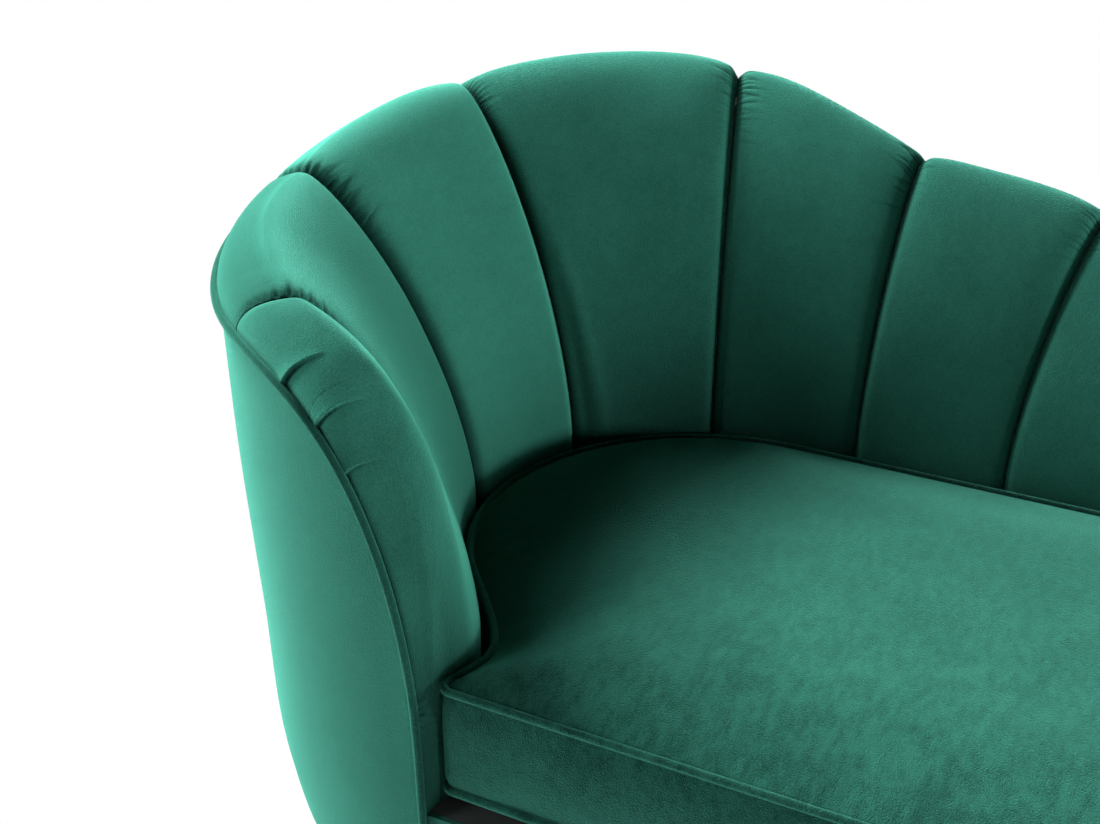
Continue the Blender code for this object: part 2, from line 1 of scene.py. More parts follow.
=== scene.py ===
"""Dresses the frame of a channel-backed chaise longue: velvet back, loose cushion, covers, legs and stage.

The shapes repeat the frame's own drawing. Its origin lies under the front corner of the cushion beside
the arm, X runs along the seat to the foot, Y from the front to the back and Z up, in metres. The back is
drawn in vertical sections. Section number u starts at the front of the arm (0) and ends where the back
stops (9), and each whole number is a seam between two channels. In a section, n is the distance out from
the seat side and z is the height.
"""

import math

import bmesh
import bpy
import numpy as np
from bpy.props import FloatProperty, FloatVectorProperty, PointerProperty
from bpy.types import Operator, Panel, PropertyGroup
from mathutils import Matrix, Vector, geometry


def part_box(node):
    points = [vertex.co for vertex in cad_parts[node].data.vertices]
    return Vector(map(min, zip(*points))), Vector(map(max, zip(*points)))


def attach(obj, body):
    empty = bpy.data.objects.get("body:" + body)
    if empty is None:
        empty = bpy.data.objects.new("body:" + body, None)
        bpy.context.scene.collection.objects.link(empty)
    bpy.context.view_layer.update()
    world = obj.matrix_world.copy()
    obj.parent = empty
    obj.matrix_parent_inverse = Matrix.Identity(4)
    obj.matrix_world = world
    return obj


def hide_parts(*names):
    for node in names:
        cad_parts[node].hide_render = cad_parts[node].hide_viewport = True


bl_info = {
    "name": "Velvet Chaise Longue",
    "version": (1, 0, 0),
    "blender": (4, 5, 0),
    "location": "View3D > Sidebar > Chaise",
    "description": "Upholsters the frame of a channel-backed chaise longue and sets its stage",
    "category": "Object",
}

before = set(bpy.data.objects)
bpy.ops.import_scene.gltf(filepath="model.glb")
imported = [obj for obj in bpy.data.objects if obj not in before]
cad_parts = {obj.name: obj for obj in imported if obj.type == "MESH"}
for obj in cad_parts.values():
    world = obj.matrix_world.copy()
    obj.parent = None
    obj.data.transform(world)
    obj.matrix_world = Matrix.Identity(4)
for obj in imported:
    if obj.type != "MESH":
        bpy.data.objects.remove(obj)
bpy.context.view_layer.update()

# Seat side of the back in plan.
SEAT_CX = 0.100
SEAT_CY = 0.328
SEAT_R = 0.245
CHANNELS = 9
CHANNEL_W = 0.157
BEND_END = 4.624
NOSE_END = (-0.010, 0.008)
NOSE_LEAVE = 0.122
NOSE_ARRIVE = 0.053
NOSE_LEAN = 0.316

# Outer edge of the back in plan, and the distances of its seams along it.
WALL_CX = 0.000
WALL_CY = 0.360
WALL_A = 0.372
WALL_B = 0.395
EDGE_SEAM_R = 0.385
EDGE_SEAMS = (-1.196, -0.930, -0.680, -0.411, -0.062, 0.165, 0.370, 0.545, 0.685, 0.800)
FIRST_SEAM = 0.80

# Heights of the back's crest above the seat line, the roll over it, and the curves of its face.
CREST_RISES = (0.288, 0.306, 0.342, 0.346, 0.277, 0.240, 0.164, 0.105, 0.075)
ROLL_W = 0.048
ROLL_H = 0.034
ROLL_FADE = 0.40
ROLL_SHARE = 0.45
FACE_POWER_OUT = 1.600
FACE_POWER_UP = 1.250
FACE_LEAST = 0.004
FACE_RISE_SHARE = 0.6
ARM_DROP = 0.025
ARM_POWER_ALONG = 3.5
ARM_POWER_UP = 1.4
LEAN_HEIGHTS = (0.155, 0.175, 0.200, 0.250, 0.410, 0.600, 0.720)
LEAN_INS = (0.060, 0.050, 0.039, 0.027, 0.015, 0.004, 0.000)

# First and last section that can be drawn, and the steps over which slopes are measured.
FIRST_SECTION = 1e-5
LAST_SECTION = CHANNELS - 1e-6
EDGE_STEP = 0.005
FACE_STEP = 0.002
LEAN_STEP = 0.004

# Cloth and piping. At the arm's front the piping is moved forward, which fades out by a section.
SEAM_MARGIN = 0.0025
EDGE_OVER = 0.001
EDGE_UNDER = 0.0020
EDGE_GAP = 0.0012
COVER_T = 0.005
PAD_SKIN = 0.009
LINING_T = 0.0009
GAP = 0.0003
WELD = 0.00002
SMOOTH_BELOW = 50
PIPE_FULL = 1.12
PIPE_ROUNDING = 4
PIPE_PROUD = 0.0034
PIPE_FORWARD = 0.0022
PIPE_FORWARD_END = 0.3
PIPE_FOOT_Z = 0.176
PIPE_STEP = 0.004

# Base and cushion.
FRONT_Y = -0.012
FOOT_X = 1.130
FOOT_CORNER_R = 0.060
BAND_START_X = -0.0105
BAND_LAP = 0.001
BAND_ROWS = 31
DECK_UNDER_WALL = 0.012
DECK_PITCH = 0.022
DECK_SAG = 0.0025
DECK_SAG_REACH = 0.15
DECK_CLEAR = 0.0026
DUST_PITCH = 0.03
DUST_UP = 0.0010
PLAN_STEP = 0.02
EAR_X = -0.006
EAR_R = 0.014
CUSHION_FRONT_Y = -0.003
CUSHION_FOOT_INSET = 0.012
CUSHION_CLEAR = 0.0108
CUSHION_FAR_INSET = 0.036
CUSHION_END_CLEAR = 0.015
CUSHION_STEP = 0.0045
CUSHION_PITCH = 0.009
CUSHION_RINGS = (0.002, 0.005, 0.0095)
CUSHION_ROWS = 22
CROWN_REACH = 0.028
CROWN_POWER = 0.8
UNDER_REACH = 0.013
UNDER_POWER = 1.3
SLACK_REACH = 0.03
BOXING_POWER = 8
SEAM_HOLD = 0.0006
CLOTH_QUALITY = 4
CLOTH_STEPS = 20
SEAT_LINE_UP = 0.010


def middle_z(node):
    """Height of the middle of a frame node."""
    low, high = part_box(node)
    return (low.z + high.z) / 2


# Places that the frame gives.
ORIGIN = np.array((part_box("base_cover")[1].x - FOOT_X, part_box("base_cover")[0].y - FRONT_Y))
DUST_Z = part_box("dust_cover")[0].z
DECK_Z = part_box("seat_deck")[0].z
DECK_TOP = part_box("seat_deck")[1].z
CUSHION_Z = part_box("seat_cushion")[0].z
PIPE_LOW_Z = middle_z("cushion_piping_low")
PIPE_TOP_Z = middle_z("cushion_piping_top")
PIPE_R = PIPE_TOP_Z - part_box("cushion_piping_top")[0].z
SEAT_LINE = PIPE_TOP_Z + SEAT_LINE_UP
ARM_FOOT_Z = SEAT_LINE - ARM_DROP

# Rows of a channel from the deck, up the seat face to the crest, and over the roll to the piping.
LOW_ROWS = 12
FACE_TURNS = np.concatenate((
    np.linspace(0, 54, 46, endpoint=False),
    np.linspace(54, 90, 84, endpoint=False),
))
ROLL_TURNS = np.linspace(90, 0, 48)
ROW_TURN = np.radians(np.concatenate((np.zeros(LOW_ROWS), FACE_TURNS, ROLL_TURNS)))
ROW_DEGREES = np.degrees(ROW_TURN)
ROW_SIDE = np.concatenate((-np.ones(LOW_ROWS + len(FACE_TURNS)), np.ones(len(ROLL_TURNS))))
ROW_LOW = np.concatenate((
    np.linspace(0, 1, LOW_ROWS, endpoint=False),
    np.ones(len(FACE_TURNS) + len(ROLL_TURNS)),
))
CREST_ROW = LOW_ROWS + len(FACE_TURNS)

# Rows near the crest that are rounded off, and in how many rounds.
ROUND_FROM = 45
ROUND_OVER = 25
ROW_ROUND = np.clip((ROW_DEGREES - ROUND_FROM) / ROUND_OVER, 0, 1) * (ROW_LOW == 1)
CREST_ROUNDS = 110

# Columns of a channel, and the closer ones where the arm has its pleats.
CHANNEL_COLUMNS = 73
PLEAT_COLUMNS = np.arange(0.26, 0.72, 0.004)

# Swell of a channel by the turn of its rows on the face and on the roll, and its shape across.
FACE_SWELL_TURNS = (0, 18, 36, 54, 72, 90)
FACE_SWELL = (0.34, 0.36, 0.60, 0.90, 0.92, 0.70)
ROLL_SWELL_TURNS = (0, 30, 60, 90)
ROLL_SWELL = (0, 0.05, 0.28, 0.70)
SWELL_POWER = 3
ARM_SWELL_POWER = 4
ARM_CALM = 0.045
FULLER = {2: 1.15, 3: 1.35, 5: 1.20}

# Slow waves of slack cloth: how many, the spread of their lengths, and what their sum is divided by.
WAVE_COUNT = 7
WAVE_SPREAD = (0.6, 1.7)
WAVE_SUM = 4

# Waves of each cover: seed of its draws, length of its waves and, where it is no user's value, their height.
CHANNEL_WAVES = (40, 0.11)
SEAT_WAVES = (21, 0.14)
BOXING_WAVES = (33, 0.06)
BOXING_WAVE_H = 0.0009
COVER_WAVES = (77, 0.20)
COVER_WAVE_H = 0.0009
BAND_WAVES = (91, 0.16)
BAND_WAVE_H = 0.0007

# Gathers: seam, side of it that is gathered, first and last place from the crest, pitch, length, depth.
GATHERS = (
    (1, "after", -0.060, 0.040, 0.0085, 0.011, 0.0022),
    (2, "before", -0.050, 0.030, 0.0070, 0.006, 0.0008),
    (2, "after", -0.095, 0.036, 0.0078, 0.015, 0.0030),
    (3, "after", -0.045, 0.010, 0.0055, 0.010, 0.0017),
    (4, "before", -0.070, 0.030, 0.0055, 0.015, 0.0015),
    (4, "after", -0.085, 0.030, 0.0060, 0.018, 0.0021),
    (5, "before", -0.070, 0.030, 0.0052, 0.020, 0.0018),
    (5, "after", -0.060, 0.030, 0.0055, 0.010, 0.0017),
    (6, "before", -0.060, 0.030, 0.0055, 0.016, 0.0016),
    (6, "after", -0.060, 0.030, 0.0055, 0.010, 0.0016),
    (7, "before", -0.050, 0.030, 0.0055, 0.014, 0.0014),
    (7, "after", -0.050, 0.030, 0.0055, 0.010, 0.0014),
    (8, "before", -0.040, 0.030, 0.0055, 0.012, 0.0013),
    (8, "after", -0.040, 0.030, 0.0055, 0.010, 0.0013),
)
GATHER_SEED = 300
GATHER_DEPTHS = (0.45, 1.1)
GATHER_LENGTHS = (0.6, 1.3)
GATHER_SLANTS = (-0.25, 0.25)
GATHER_STEPS = (0.7, 1.3)
GATHER_ENDS = (0.06, 0.94)
GATHER_POWER = 0.6
GATHER_CLEAR = 0.0025
GROOVE_W = 0.27
RIDGE_W = 0.3
RIDGE_H = 0.35

# Crease at each seam between channels: the width of its painted shade before the seam and after it, and its
# depth.
CREASES = {
    1: (0.0015, 0.0025, 0.0025),
    2: (0.003, 0.012, 0.005),
    3: (0.003, 0.006, 0.005),
    4: (0.004, 0.005, 0.005),
    5: (0.003, 0.005, 0.005),
}
PLAIN_CREASE = (0.003, 0.004, 0.005)
CREASE_REACH = 0.006
CREASE_POWER = 1.4
CREASE_ROLL = 50
CREASE_LEAST = 0.25

# Width of a crease's painted shade on the face and on the roll: at the foot of it, and what the turn adds.
FACE_CREASE = (0.45, 0.55)
ROLL_CREASE = (0.3, 0.7)

# Painted shade in the gathers and beside the piping.
GATHER_SHADE_DEPTH = 0.0015
GATHER_SHADE = 0.75
PIPE_SHADE_W = 0.004
PIPE_SHADE = 0.9

# Pleats on the arm: section at the piping, how far they sweep, where they end on the roll, strength.
PLEATS = ((0.648, 0.038, 70, 1.0), (0.474, 0.040, 76, 0.9), (0.340, 0.042, 80, 0.60))
PLEAT_CURVE = 0.6
PLEAT_FADE = 1.8
PLEAT_EDGE = 0.0008
PLEAT_LIP_W = 0.007
PLEAT_HOLLOW_W = 0.011
PLEAT_HOLLOW = 1.1
# Painted shade of a pleat: the offset and width of its dark line, and its share in the hollow below.
PLEAT_LINE = (-0.0009, 0.0016)
PLEAT_SHADE = 0.08

# Slack fold: its channel, its strength and spread by the turn of the rows, and its hollow and ridge.
FOLD_CHANNEL = 3
FOLD_TURNS = (0, 8, 34, 50)
FOLD_FADE = (0.7, 1, 0.9, 0)
FOLD_SPREAD_TURNS = (0, 50)
FOLD_SPREAD = (1.25, 0.55)
FOLD_HOLLOW = (0.010, 0.007)
FOLD_RIDGE = (0.024, 0.010)
FOLD_RIDGE_H = 0.7

# Strip between the first channel and the upright piping, with small creases beside the cushion's top.
STRIP_COLUMNS = 14
STRIP_UNDER = 0.0030
STRIP_END = 0.014
STRIP_CREASE = (0.430, 0.016)
STRIP_CREASE_FALL = 0.02
STRIP_CREASE_PITCH = 0.0017
STRIP_CREASE_H = 0.0013
TUCK_COLUMNS = STRIP_COLUMNS + 8
TUCK_BELOW = 60

# Rows and columns of the outer cover, which are closer where it meets the arm's piping.
COVER_ROWS = 61
COVER_POWER = 1.25
COVER_BREAK = 0.3
COVER_CLOSE_COLUMNS = 60
COVER_COLUMNS = 262

# Pad on the end of the back.
END_ROWS = 60
END_COLUMNS = 29
END_WALL_ROWS = 40
END_SEAT = 0.6
END_SWELL = 0.008
END_POWERS = (0.5, 0.4)

# Painted light and shade on each channel: how much lighter or darker it is drawn, from its foot over its
# crest to its piping.
PAINTED_LIGHT_TURNS = (0, 30, 70, 82, 90, 105, 145)
CHANNEL_PAINTED_LIGHT = (
    (-0.12, 0.00, 0.26, 0.31, 0.35, 0.35, 0.35),
    (-0.15, -0.12, 0.20, 0.60, 0.42, -0.02, -0.15),
    (0.05, 0.46, 0.88, 1.05, 1.10, 0.80, 0.65),
    (-0.63, -0.13, 0.34, 0.44, 0.50, 0.50, 0.50),
    (-0.52, -0.22, 0.22, 0.32, 0.38, 0.38, 0.38),
    (-0.30, -0.32, 0.00, 0.07, 0.12, 0.12, 0.12),
)
PLAIN_PAINTED_LIGHT = (-0.30, 0.00, 0.18, 0.22, 0.25, 0.25, 0.25)
CREASE_PAINTED_SHADE = 0.95
# The shell piping is drawn darker all over.
PIPE_DARKER = -0.40

# Painted light and shade on the arm's front by its section, on its strip, and on the outer cover beside the
# piping.
ARM_PLACES = (0.00, 0.03, 0.06, 0.10, 0.15, 0.23, 0.34, 0.46, 0.60, 0.70, 0.80, 1.00)
ARM_PAINTED_LIGHT = (0.35, 0.40, 0.60, 0.68, 0.66, 0.80, 0.95, 1.50, 1.40, 1.00, 0.82, 0.90)
STRIP_PAINTED_SHADE = 0.62
COVER_PLACES = (0.00, 0.06, 0.25, 0.60)
COVER_PAINTED_LIGHT = (0.48, 0.42, 0.06, -0.05)

# Painted light and shade on the cushion: a painted shadow towards the head and along the back, painted light
# towards the front, and painted shade on the boxing and on the piping along the back.
SEAT_X = (0.00, 0.03, 0.07, 0.13, 0.22)
SEAT_PAINTED_SHADOW = (-0.78, -0.71, -0.48, -0.27, 0.00)
SEAT_Y = (0.02, 0.08, 0.20, 0.38, 0.46)
SEAT_Y_PAINTED_LIGHT = (0.34, 0.25, 0.02, -0.24, -0.38)
SEAT_Y_SHARE = (0.50, 1.00, 1.00, 1.00, 1.00)
SEAT_MIDDLE_Y = (0.20, 0.40)
SEAT_SLANT = 0.25
DARKEST_PAINTED_SHADE = -0.90
BOXING_X = (0.05, 0.25)
BOXING_PAINTED_SHADE = (-0.37, -0.24)
PIPE_BACK_Y = (0.24, 0.38)
PIPE_BACK_PAINTED_SHADE = (0.00, -0.75)

# Noises of the velvet's pile, of wood and of metal: scale, detail and roughness.
PILE_PATCHES = (20.0, 5.0, 0.62)
PILE_STROKES = (120.0, 4.0, 0.6)
PILE_GRAIN = (950.0, 1.5, 0.5)
WOOD_PORES = (160.0, 3.0, 0.7)
METAL_MARKS = (240.0, 5.0, 0.7)

# How the pile's strokes are turned and drawn out, and how much its layers count.
PILE_TURN = (0.3, 0.5, 0.6)
PILE_STRETCH = (1.0, 0.38, 0.7)
PILE_GRAIN_SHADE = 0.8
PILE_STROKE_HEIGHT = 0.25
PILE_BUMP = 0.0008

# Velvet finishes: patches, strokes and grain of the pile.
VELVETS = {"velvet_back": (0.50, 0.40, 1.80), "velvet_seat": (1.90, 2.90, 2.90)}

# Materials of the frame's own pieces, by words in their names. The first that fits is taken.
FRAME_FINISHES = (
    ("seat_spring", "bright_steel"),
    ("back_panel", "frame_board"),
    ("back_rib", "frame_board"),
    ("arm_post", "frame_board"),
    ("leg_board", "frame_board"),
    ("rail", "frame_timber"),
    ("corner_block", "frame_timber"),
)

# Turned pieces of a leg: name, material, slot, radii at the foot and at the top, and the eased edge.
LEGS = ("front_head", "back_head", "front_foot", "back_foot")
LEG_PIECES = (
    ("leg", "leg_wood", "leg_wood", (0.013, 0.022), 0.0025),
    ("leg_plate", "bright_steel", "steel", (0.034, 0.034), 0.0012),
    ("leg_glide", "glide_plastic", "glide_plastic", (0.011, 0.011), 0.0018),
)
LEG_SIDES = 48
LEG_EDGE_STEPS = 4

# Lamps: name, compass way and rise in degrees, and size. They stand round a point above the seat's head.
LAMPS = (
    ("key", 165, 38, 0.6),
    ("wide", 181, 34, 0.9),
    ("head", 190, 27, 0.8),
    ("foot", 6, 1.5, 0.6),
    ("front", -120, 25, 0.8),
    ("low", -45, 8, 0.6),
    ("rim", 100, 30, 0.8),
)
LAMP_AIM = Vector((-0.25, 0.0, 0.5))
LAMP_DISTANCE = 2.8
WORLD_LIGHT = 0.015
WHITE = (1, 1, 1, 1)

# Floor: its size, and how the white that the camera sees fades in round the object.
FLOOR_SIZE = 40
FLOOR_SQUEEZE = (0.75, 1.25, 1.0)
FLOOR_FADE = {"From_Min": 0.45, "From_Max": 0.85, "To_Min": 0.78, "To_Max": 1.0}

# Camera: place from the origin, tilt and turn in degrees, and the width of its sensor in millimetres.
CAMERA_PLACE = (0.58195, -0.89773, 1.20165)
CAMERA_TILT = 65
CAMERA_TURN = 28.2
SENSOR_W = 36


# Shape of the back.


def smooth_step(share):
    """Share held from 0 to 1 and eased at both ends."""
    share = np.clip(share, 0, 1)
    return share * share * (3 - 2 * share)


def between(row, place):
    """Smooth value at a fractional place along a row of evenly spaced values."""
    first = min(max(int(place), 0), len(row) - 2)
    share = place - first
    before, start, stop, after = (row[min(max(first + step, 0), len(row) - 1)] for step in (-1, 0, 1, 2))
    curve = 2 * before - 5 * start + 4 * stop - after
    bend = 3 * start - before - 3 * stop + after
    return start + 0.5 * share * (stop - before + share * (curve + share * bend))


def through(x, xs, ys):
    """Smooth curve through points, level beyond the first and the last."""
    xs, ys = np.asarray(xs, float), np.asarray(ys, float)
    slopes = np.gradient(ys, xs)
    k = np.clip(np.searchsorted(xs, x) - 1, 0, len(xs) - 2)
    step = xs[k + 1] - xs[k]
    t = np.clip((x - xs[k]) / step, 0, 1)
    low = (1 + 2 * t) * (1 - t) ** 2 * ys[k] + t * (1 - t) ** 2 * step * slopes[k]
    return low + t * t * (3 - 2 * t) * ys[k + 1] + t * t * (t - 1) * step * slopes[k + 1]


def lean(z):
    """How far in the outer cover lies at a height."""
    return through(z, LEAN_HEIGHTS, LEAN_INS)


def path_place(u):
    """Place of a section along both paths: the first seam is past the start of the nose."""
    if u < 1:
        return u * FIRST_SEAM
    if u < 2:
        return FIRST_SEAM + (u - 1) * (2 - FIRST_SEAM)
    return u


def seat_bend(place):
    """Seat side of the back at a place of 1 or more."""
    travel = (place - BEND_END) * CHANNEL_W
    turn = math.pi / 2 - min(travel, 0) / SEAT_R
    return np.array((
        SEAT_CX + SEAT_R * math.cos(turn) + max(travel, 0),
        SEAT_CY + SEAT_R * math.sin(turn),
    ))


def seat_side(u):
    """Seat side of the back in plan, with the nose of the arm from place 1 down to 0."""
    place = path_place(u)
    if place >= 1:
        return seat_bend(place)
    start = seat_bend(1)
    turn = math.pi / 2 - (1 - BEND_END) * CHANNEL_W / SEAT_R
    leave = start + NOSE_LEAVE * np.array((-math.sin(turn), math.cos(turn)))
    end = np.array(NOSE_END)
    arrive = end + NOSE_ARRIVE * np.array((NOSE_LEAN, 1)) / math.hypot(NOSE_LEAN, 1)
    t = 1 - place
    s = 1 - t
    return s**3 * start + 3 * s * s * t * leave + 3 * s * t * t * arrive + t**3 * end


def edge_side(u):
    """Outer edge of the back in plan, before the cover leans in."""
    travel = between(EDGE_SEAMS, path_place(u))
    turn = math.pi / 2 - min(travel, 0) / EDGE_SEAM_R
    return np.array((
        WALL_CX + WALL_A * math.cos(turn) + max(travel, 0),
        WALL_CY + WALL_B * math.sin(turn),
    ))


def edge_height(u):
    """Height of the piping on the outer edge. It runs down the arm from place 1 to 0."""
    place = path_place(u)
    if place >= 1:
        return SEAT_LINE + between(CREST_RISES, place - 1) - ROLL_H
    top = SEAT_LINE + CREST_RISES[0] - ROLL_H
    share = (1 - (1 - place) ** ARM_POWER_ALONG) ** (1 / ARM_POWER_UP)
    return ARM_FOOT_Z + (top - ARM_FOOT_Z) * share


class Section:
    """One vertical section through the back."""

    def __init__(self, u):
        self.start = seat_side(u)
        line = edge_side(u) - self.start
        self.reach = math.hypot(*line)
        self.along = line / self.reach
        self.side = np.array((-self.along[1], self.along[0], 0))
        self.edge_z = edge_height(u)
        self.length = self.reach - float(lean(self.edge_z))
        self.roll_w = min(ROLL_W, ROLL_SHARE * self.length)
        fade = smooth_step(u / ROLL_FADE)
        self.crest = self.edge_z + ROLL_H * self.roll_w / ROLL_W * fade
        self.over = EDGE_OVER * fade - EDGE_UNDER * (1 - fade)
        self.rise_z = min(SEAT_LINE, DECK_TOP + FACE_RISE_SHARE * (self.crest - DECK_TOP))
        run = edge_side(u + EDGE_STEP) - edge_side(u - EDGE_STEP)
        self.out = np.array((-run[1], run[0])) / math.hypot(*run)

    def at(self, n, z):
        """Points in space at distances out and heights."""
        n, z = np.broadcast_arrays(np.asarray(n, float), np.asarray(z, float))
        plan = self.start + n[..., None] * self.along + ORIGIN
        return np.concatenate((plan, z[..., None]), axis=-1)

    def outside(self, z):
        """Distance out to the face of the outer cover at a height."""
        return self.reach - lean(z)

    def face(self):
        """Points of the padding's face at every row, before it swells."""
        low = DECK_TOP + GAP
        top_n = max(self.length - self.roll_w, FACE_LEAST)
        turn_in, turn_up = np.cos(ROW_TURN), np.sin(ROW_TURN)
        out = top_n * (1 - np.maximum(turn_in, 0) ** FACE_POWER_OUT)
        back = self.length + self.over * turn_in - self.roll_w * (1 - turn_in)
        rise = self.rise_z + (self.crest - self.rise_z) * turn_up ** FACE_POWER_UP
        fall = self.edge_z + EDGE_GAP * turn_in + (self.crest - self.edge_z) * turn_up
        z = np.where(ROW_SIDE < 0, rise, fall)
        z = np.where(ROW_LOW < 1, low + ROW_LOW * (self.rise_z - low), z)
        line = np.column_stack((np.where(ROW_SIDE < 0, out, back), z))
        for _ in range(CREST_ROUNDS):
            middle = (line[:-2] + 2 * line[1:-1] + line[2:]) / 4
            line[1:-1] += ROW_ROUND[1:-1, None] * (middle - line[1:-1])
        return self.at(line[:, 0], line[:, 1])

    def pipe(self, z, forward):
        """Place of the piping at a height, proud of the outer cover and moved forward by a share."""
        slope = float(lean(z - LEAN_STEP) - lean(z + LEAN_STEP)) / (2 * LEAN_STEP)
        normal = np.array((*self.out, -slope))
        place = self.at(self.outside(z), z) + normal * PIPE_PROUD / math.sqrt(1 + slope * slope)
        return place + self.side * PIPE_FORWARD * forward


# Share of a channel's swell at each row: little at the deck, full on the face, none at the piping.
ROW_SWELL = np.where(
    ROW_SIDE < 0,
    through(ROW_DEGREES, FACE_SWELL_TURNS, FACE_SWELL) * (0.5 + 0.5 * ROW_LOW),
    through(ROW_DEGREES, ROLL_SWELL_TURNS, ROLL_SWELL),
)


def soft_waves(points, seed, length):
    """Slow even waves over points in space, about from -1 to 1, for the slackness of cloth."""
    draw = np.random.default_rng(seed)
    total = np.zeros(points.shape[:-1])
    for _ in range(WAVE_COUNT):
        way = draw.normal(size=3)
        way /= np.linalg.norm(way)
        turn = points @ (way * 2 * math.pi / (length * draw.uniform(*WAVE_SPREAD)))
        total += np.sin(turn + draw.uniform(0, 2 * math.pi))
    return total / WAVE_SUM


def bump(x, middle, width):
    """Rounded bump of height 1."""
    return np.exp(-(((x - middle) / width) ** 2))


def gathers(along, away, first, last, pitch, length, depth, seed):
    """Grooves across a seam: along is the place along it, away the distance from it."""
    draw = np.random.default_rng(seed)
    total = np.zeros(away.shape)
    clear = 1 - np.exp(-away / GATHER_CLEAR)
    place = first
    while place < last:
        share = np.clip((place - first) / (last - first), *GATHER_ENDS)
        strength = depth * draw.uniform(*GATHER_DEPTHS) * math.sin(math.pi * share) ** GATHER_POWER
        fade = bump(away, 0, length * draw.uniform(*GATHER_LENGTHS))
        line = along[:, None] + draw.uniform(*GATHER_SLANTS) * away
        total -= strength * bump(line, place, GROOVE_W * pitch) * fade * clear
        total += RIDGE_H * strength * bump(line, place + pitch / 2, RIDGE_W * pitch) * fade * clear
        place += pitch * draw.uniform(*GATHER_STEPS)
    return total


# Lines and plans.


def distances(line):
    """Distance of each point of a line from its start, along it."""
    return np.concatenate(([0], np.cumsum(np.linalg.norm(np.diff(line, axis=0), axis=1))))


def points_at(line, runs, places):
    """Points at places along a line, where runs are the places of its own points."""
    return np.stack([np.interp(places, runs, values) for values in line.T], axis=1)


def even_line(points, step, closed=True):
    """Line through points with even steps along it."""
    points = np.asarray(points, float)
    if closed:
        points = np.vstack((points, points[:1]))
    runs = distances(points)
    count = max(int(round(runs[-1] / step)), 3)
    line = points_at(points, runs, np.linspace(0, runs[-1], count + 1))
    return line[:-1] if closed else line


def inset_line(outline, distance):
    """Closed plan line moved in by a distance. It runs anticlockwise seen from above."""
    least_spread = 0.5
    before, after = np.roll(outline, 1, axis=0), np.roll(outline, -1, axis=0)
    into = outline - before
    out = after - outline
    into /= np.linalg.norm(into, axis=1, keepdims=True)
    out /= np.linalg.norm(out, axis=1, keepdims=True)
    normal = np.stack((-into[:, 1] - out[:, 1], into[:, 0] + out[:, 0]), axis=1)
    normal /= np.linalg.norm(normal, axis=1, keepdims=True)
    spread = np.maximum(-normal[:, 0] * into[:, 1] + normal[:, 1] * into[:, 0], least_spread)
    return outline + normal * (distance / spread)[:, None]


def line_distance(points, line):
    """Distance of plan points to a closed line."""
    best = np.full(len(points), np.inf)
    for start, run in zip(line, np.roll(line, -1, axis=0) - line):
        away = points - start
        share = np.clip(away @ run / max(run @ run, 1e-12), 0, 1)
        best = np.minimum(best, ((away - share[:, None] * run) ** 2).sum(axis=1))
    return np.sqrt(best)


def inside_line(points, line):
    """True for plan points inside a closed line."""
    inside = np.zeros(len(points), bool)
    for (x0, y0), (x1, y1) in zip(line, np.roll(line, -1, axis=0)):
        crosses = (y0 > points[:, 1]) != (y1 > points[:, 1])
        if y0 != y1:
            at = x0 + (points[:, 1] - y0) * (x1 - x0) / (y1 - y0)
            inside ^= crosses & (points[:, 0] < at)
    return inside


def filled_plan(line, pitch, insets=()):
    """Triangles that fill a closed plan line: points, faces and each point's distance to the line."""
    row_share, clear_share, ring_slip = 0.866, 0.6, 0.12
    low, high = line.min(axis=0), line.max(axis=0)
    columns = np.arange(low[0], high[0], pitch)
    rows = np.arange(low[1], high[1], pitch * row_share)
    x, y = np.meshgrid(columns, rows)
    x = x + (np.arange(len(rows)) % 2)[:, None] * pitch / 2
    inner = np.stack((x.ravel(), y.ravel()), axis=1)
    inner = inner[inside_line(inner, line)]
    deepest = max(insets, default=0) + clear_share * pitch
    inner = inner[line_distance(inner, line) > deepest]
    rings = []
    for distance in insets:
        ring = inset_line(line, distance)
        slip = np.abs(line_distance(ring, line) - distance)
        rings.append(ring[inside_line(ring, line) & (slip < ring_slip * distance)])
    points = np.vstack([line, *rings, inner])
    loop = [list(range(len(line)))]
    made = geometry.delaunay_2d_cdt([Vector(p) for p in points], [], loop, 1, 1e-6)
    plan = np.array([tuple(p) for p in made[0]])
    return plan, [tuple(f) for f in made[2]], line_distance(plan, line)


def joined(*sheets):
    """Points and faces of several sheets as one list each."""
    points, faces = [], []
    for new_points, new_faces in sheets:
        first = len(points)
        points.extend(map(tuple, new_points))
        faces.extend(tuple(first + k for k in face) for face in new_faces)
    return points, faces


# Mesh helpers, each a step as by hand.


def start_afresh():
    """Object mode with nothing selected."""
    if bpy.context.mode != "OBJECT":
        bpy.ops.object.mode_set(mode="OBJECT")
    bpy.ops.object.select_all(action="DESELECT")


def pick(piece):
    """Only this piece selected and active."""
    start_afresh()
    piece.select_set(True)
    bpy.context.view_layer.objects.active = piece


def points_of(piece):
    """Points of a piece, one in each row."""
    flat = np.empty(3 * len(piece.data.vertices), np.float32)
    piece.data.vertices.foreach_get("co", flat)
    return flat.reshape(-1, 3).astype(float)


def place_points(piece, points):
    """Points of a piece put in new places."""
    piece.data.vertices.foreach_set("co", np.ascontiguousarray(points, np.float32).ravel())
    piece.data.update()


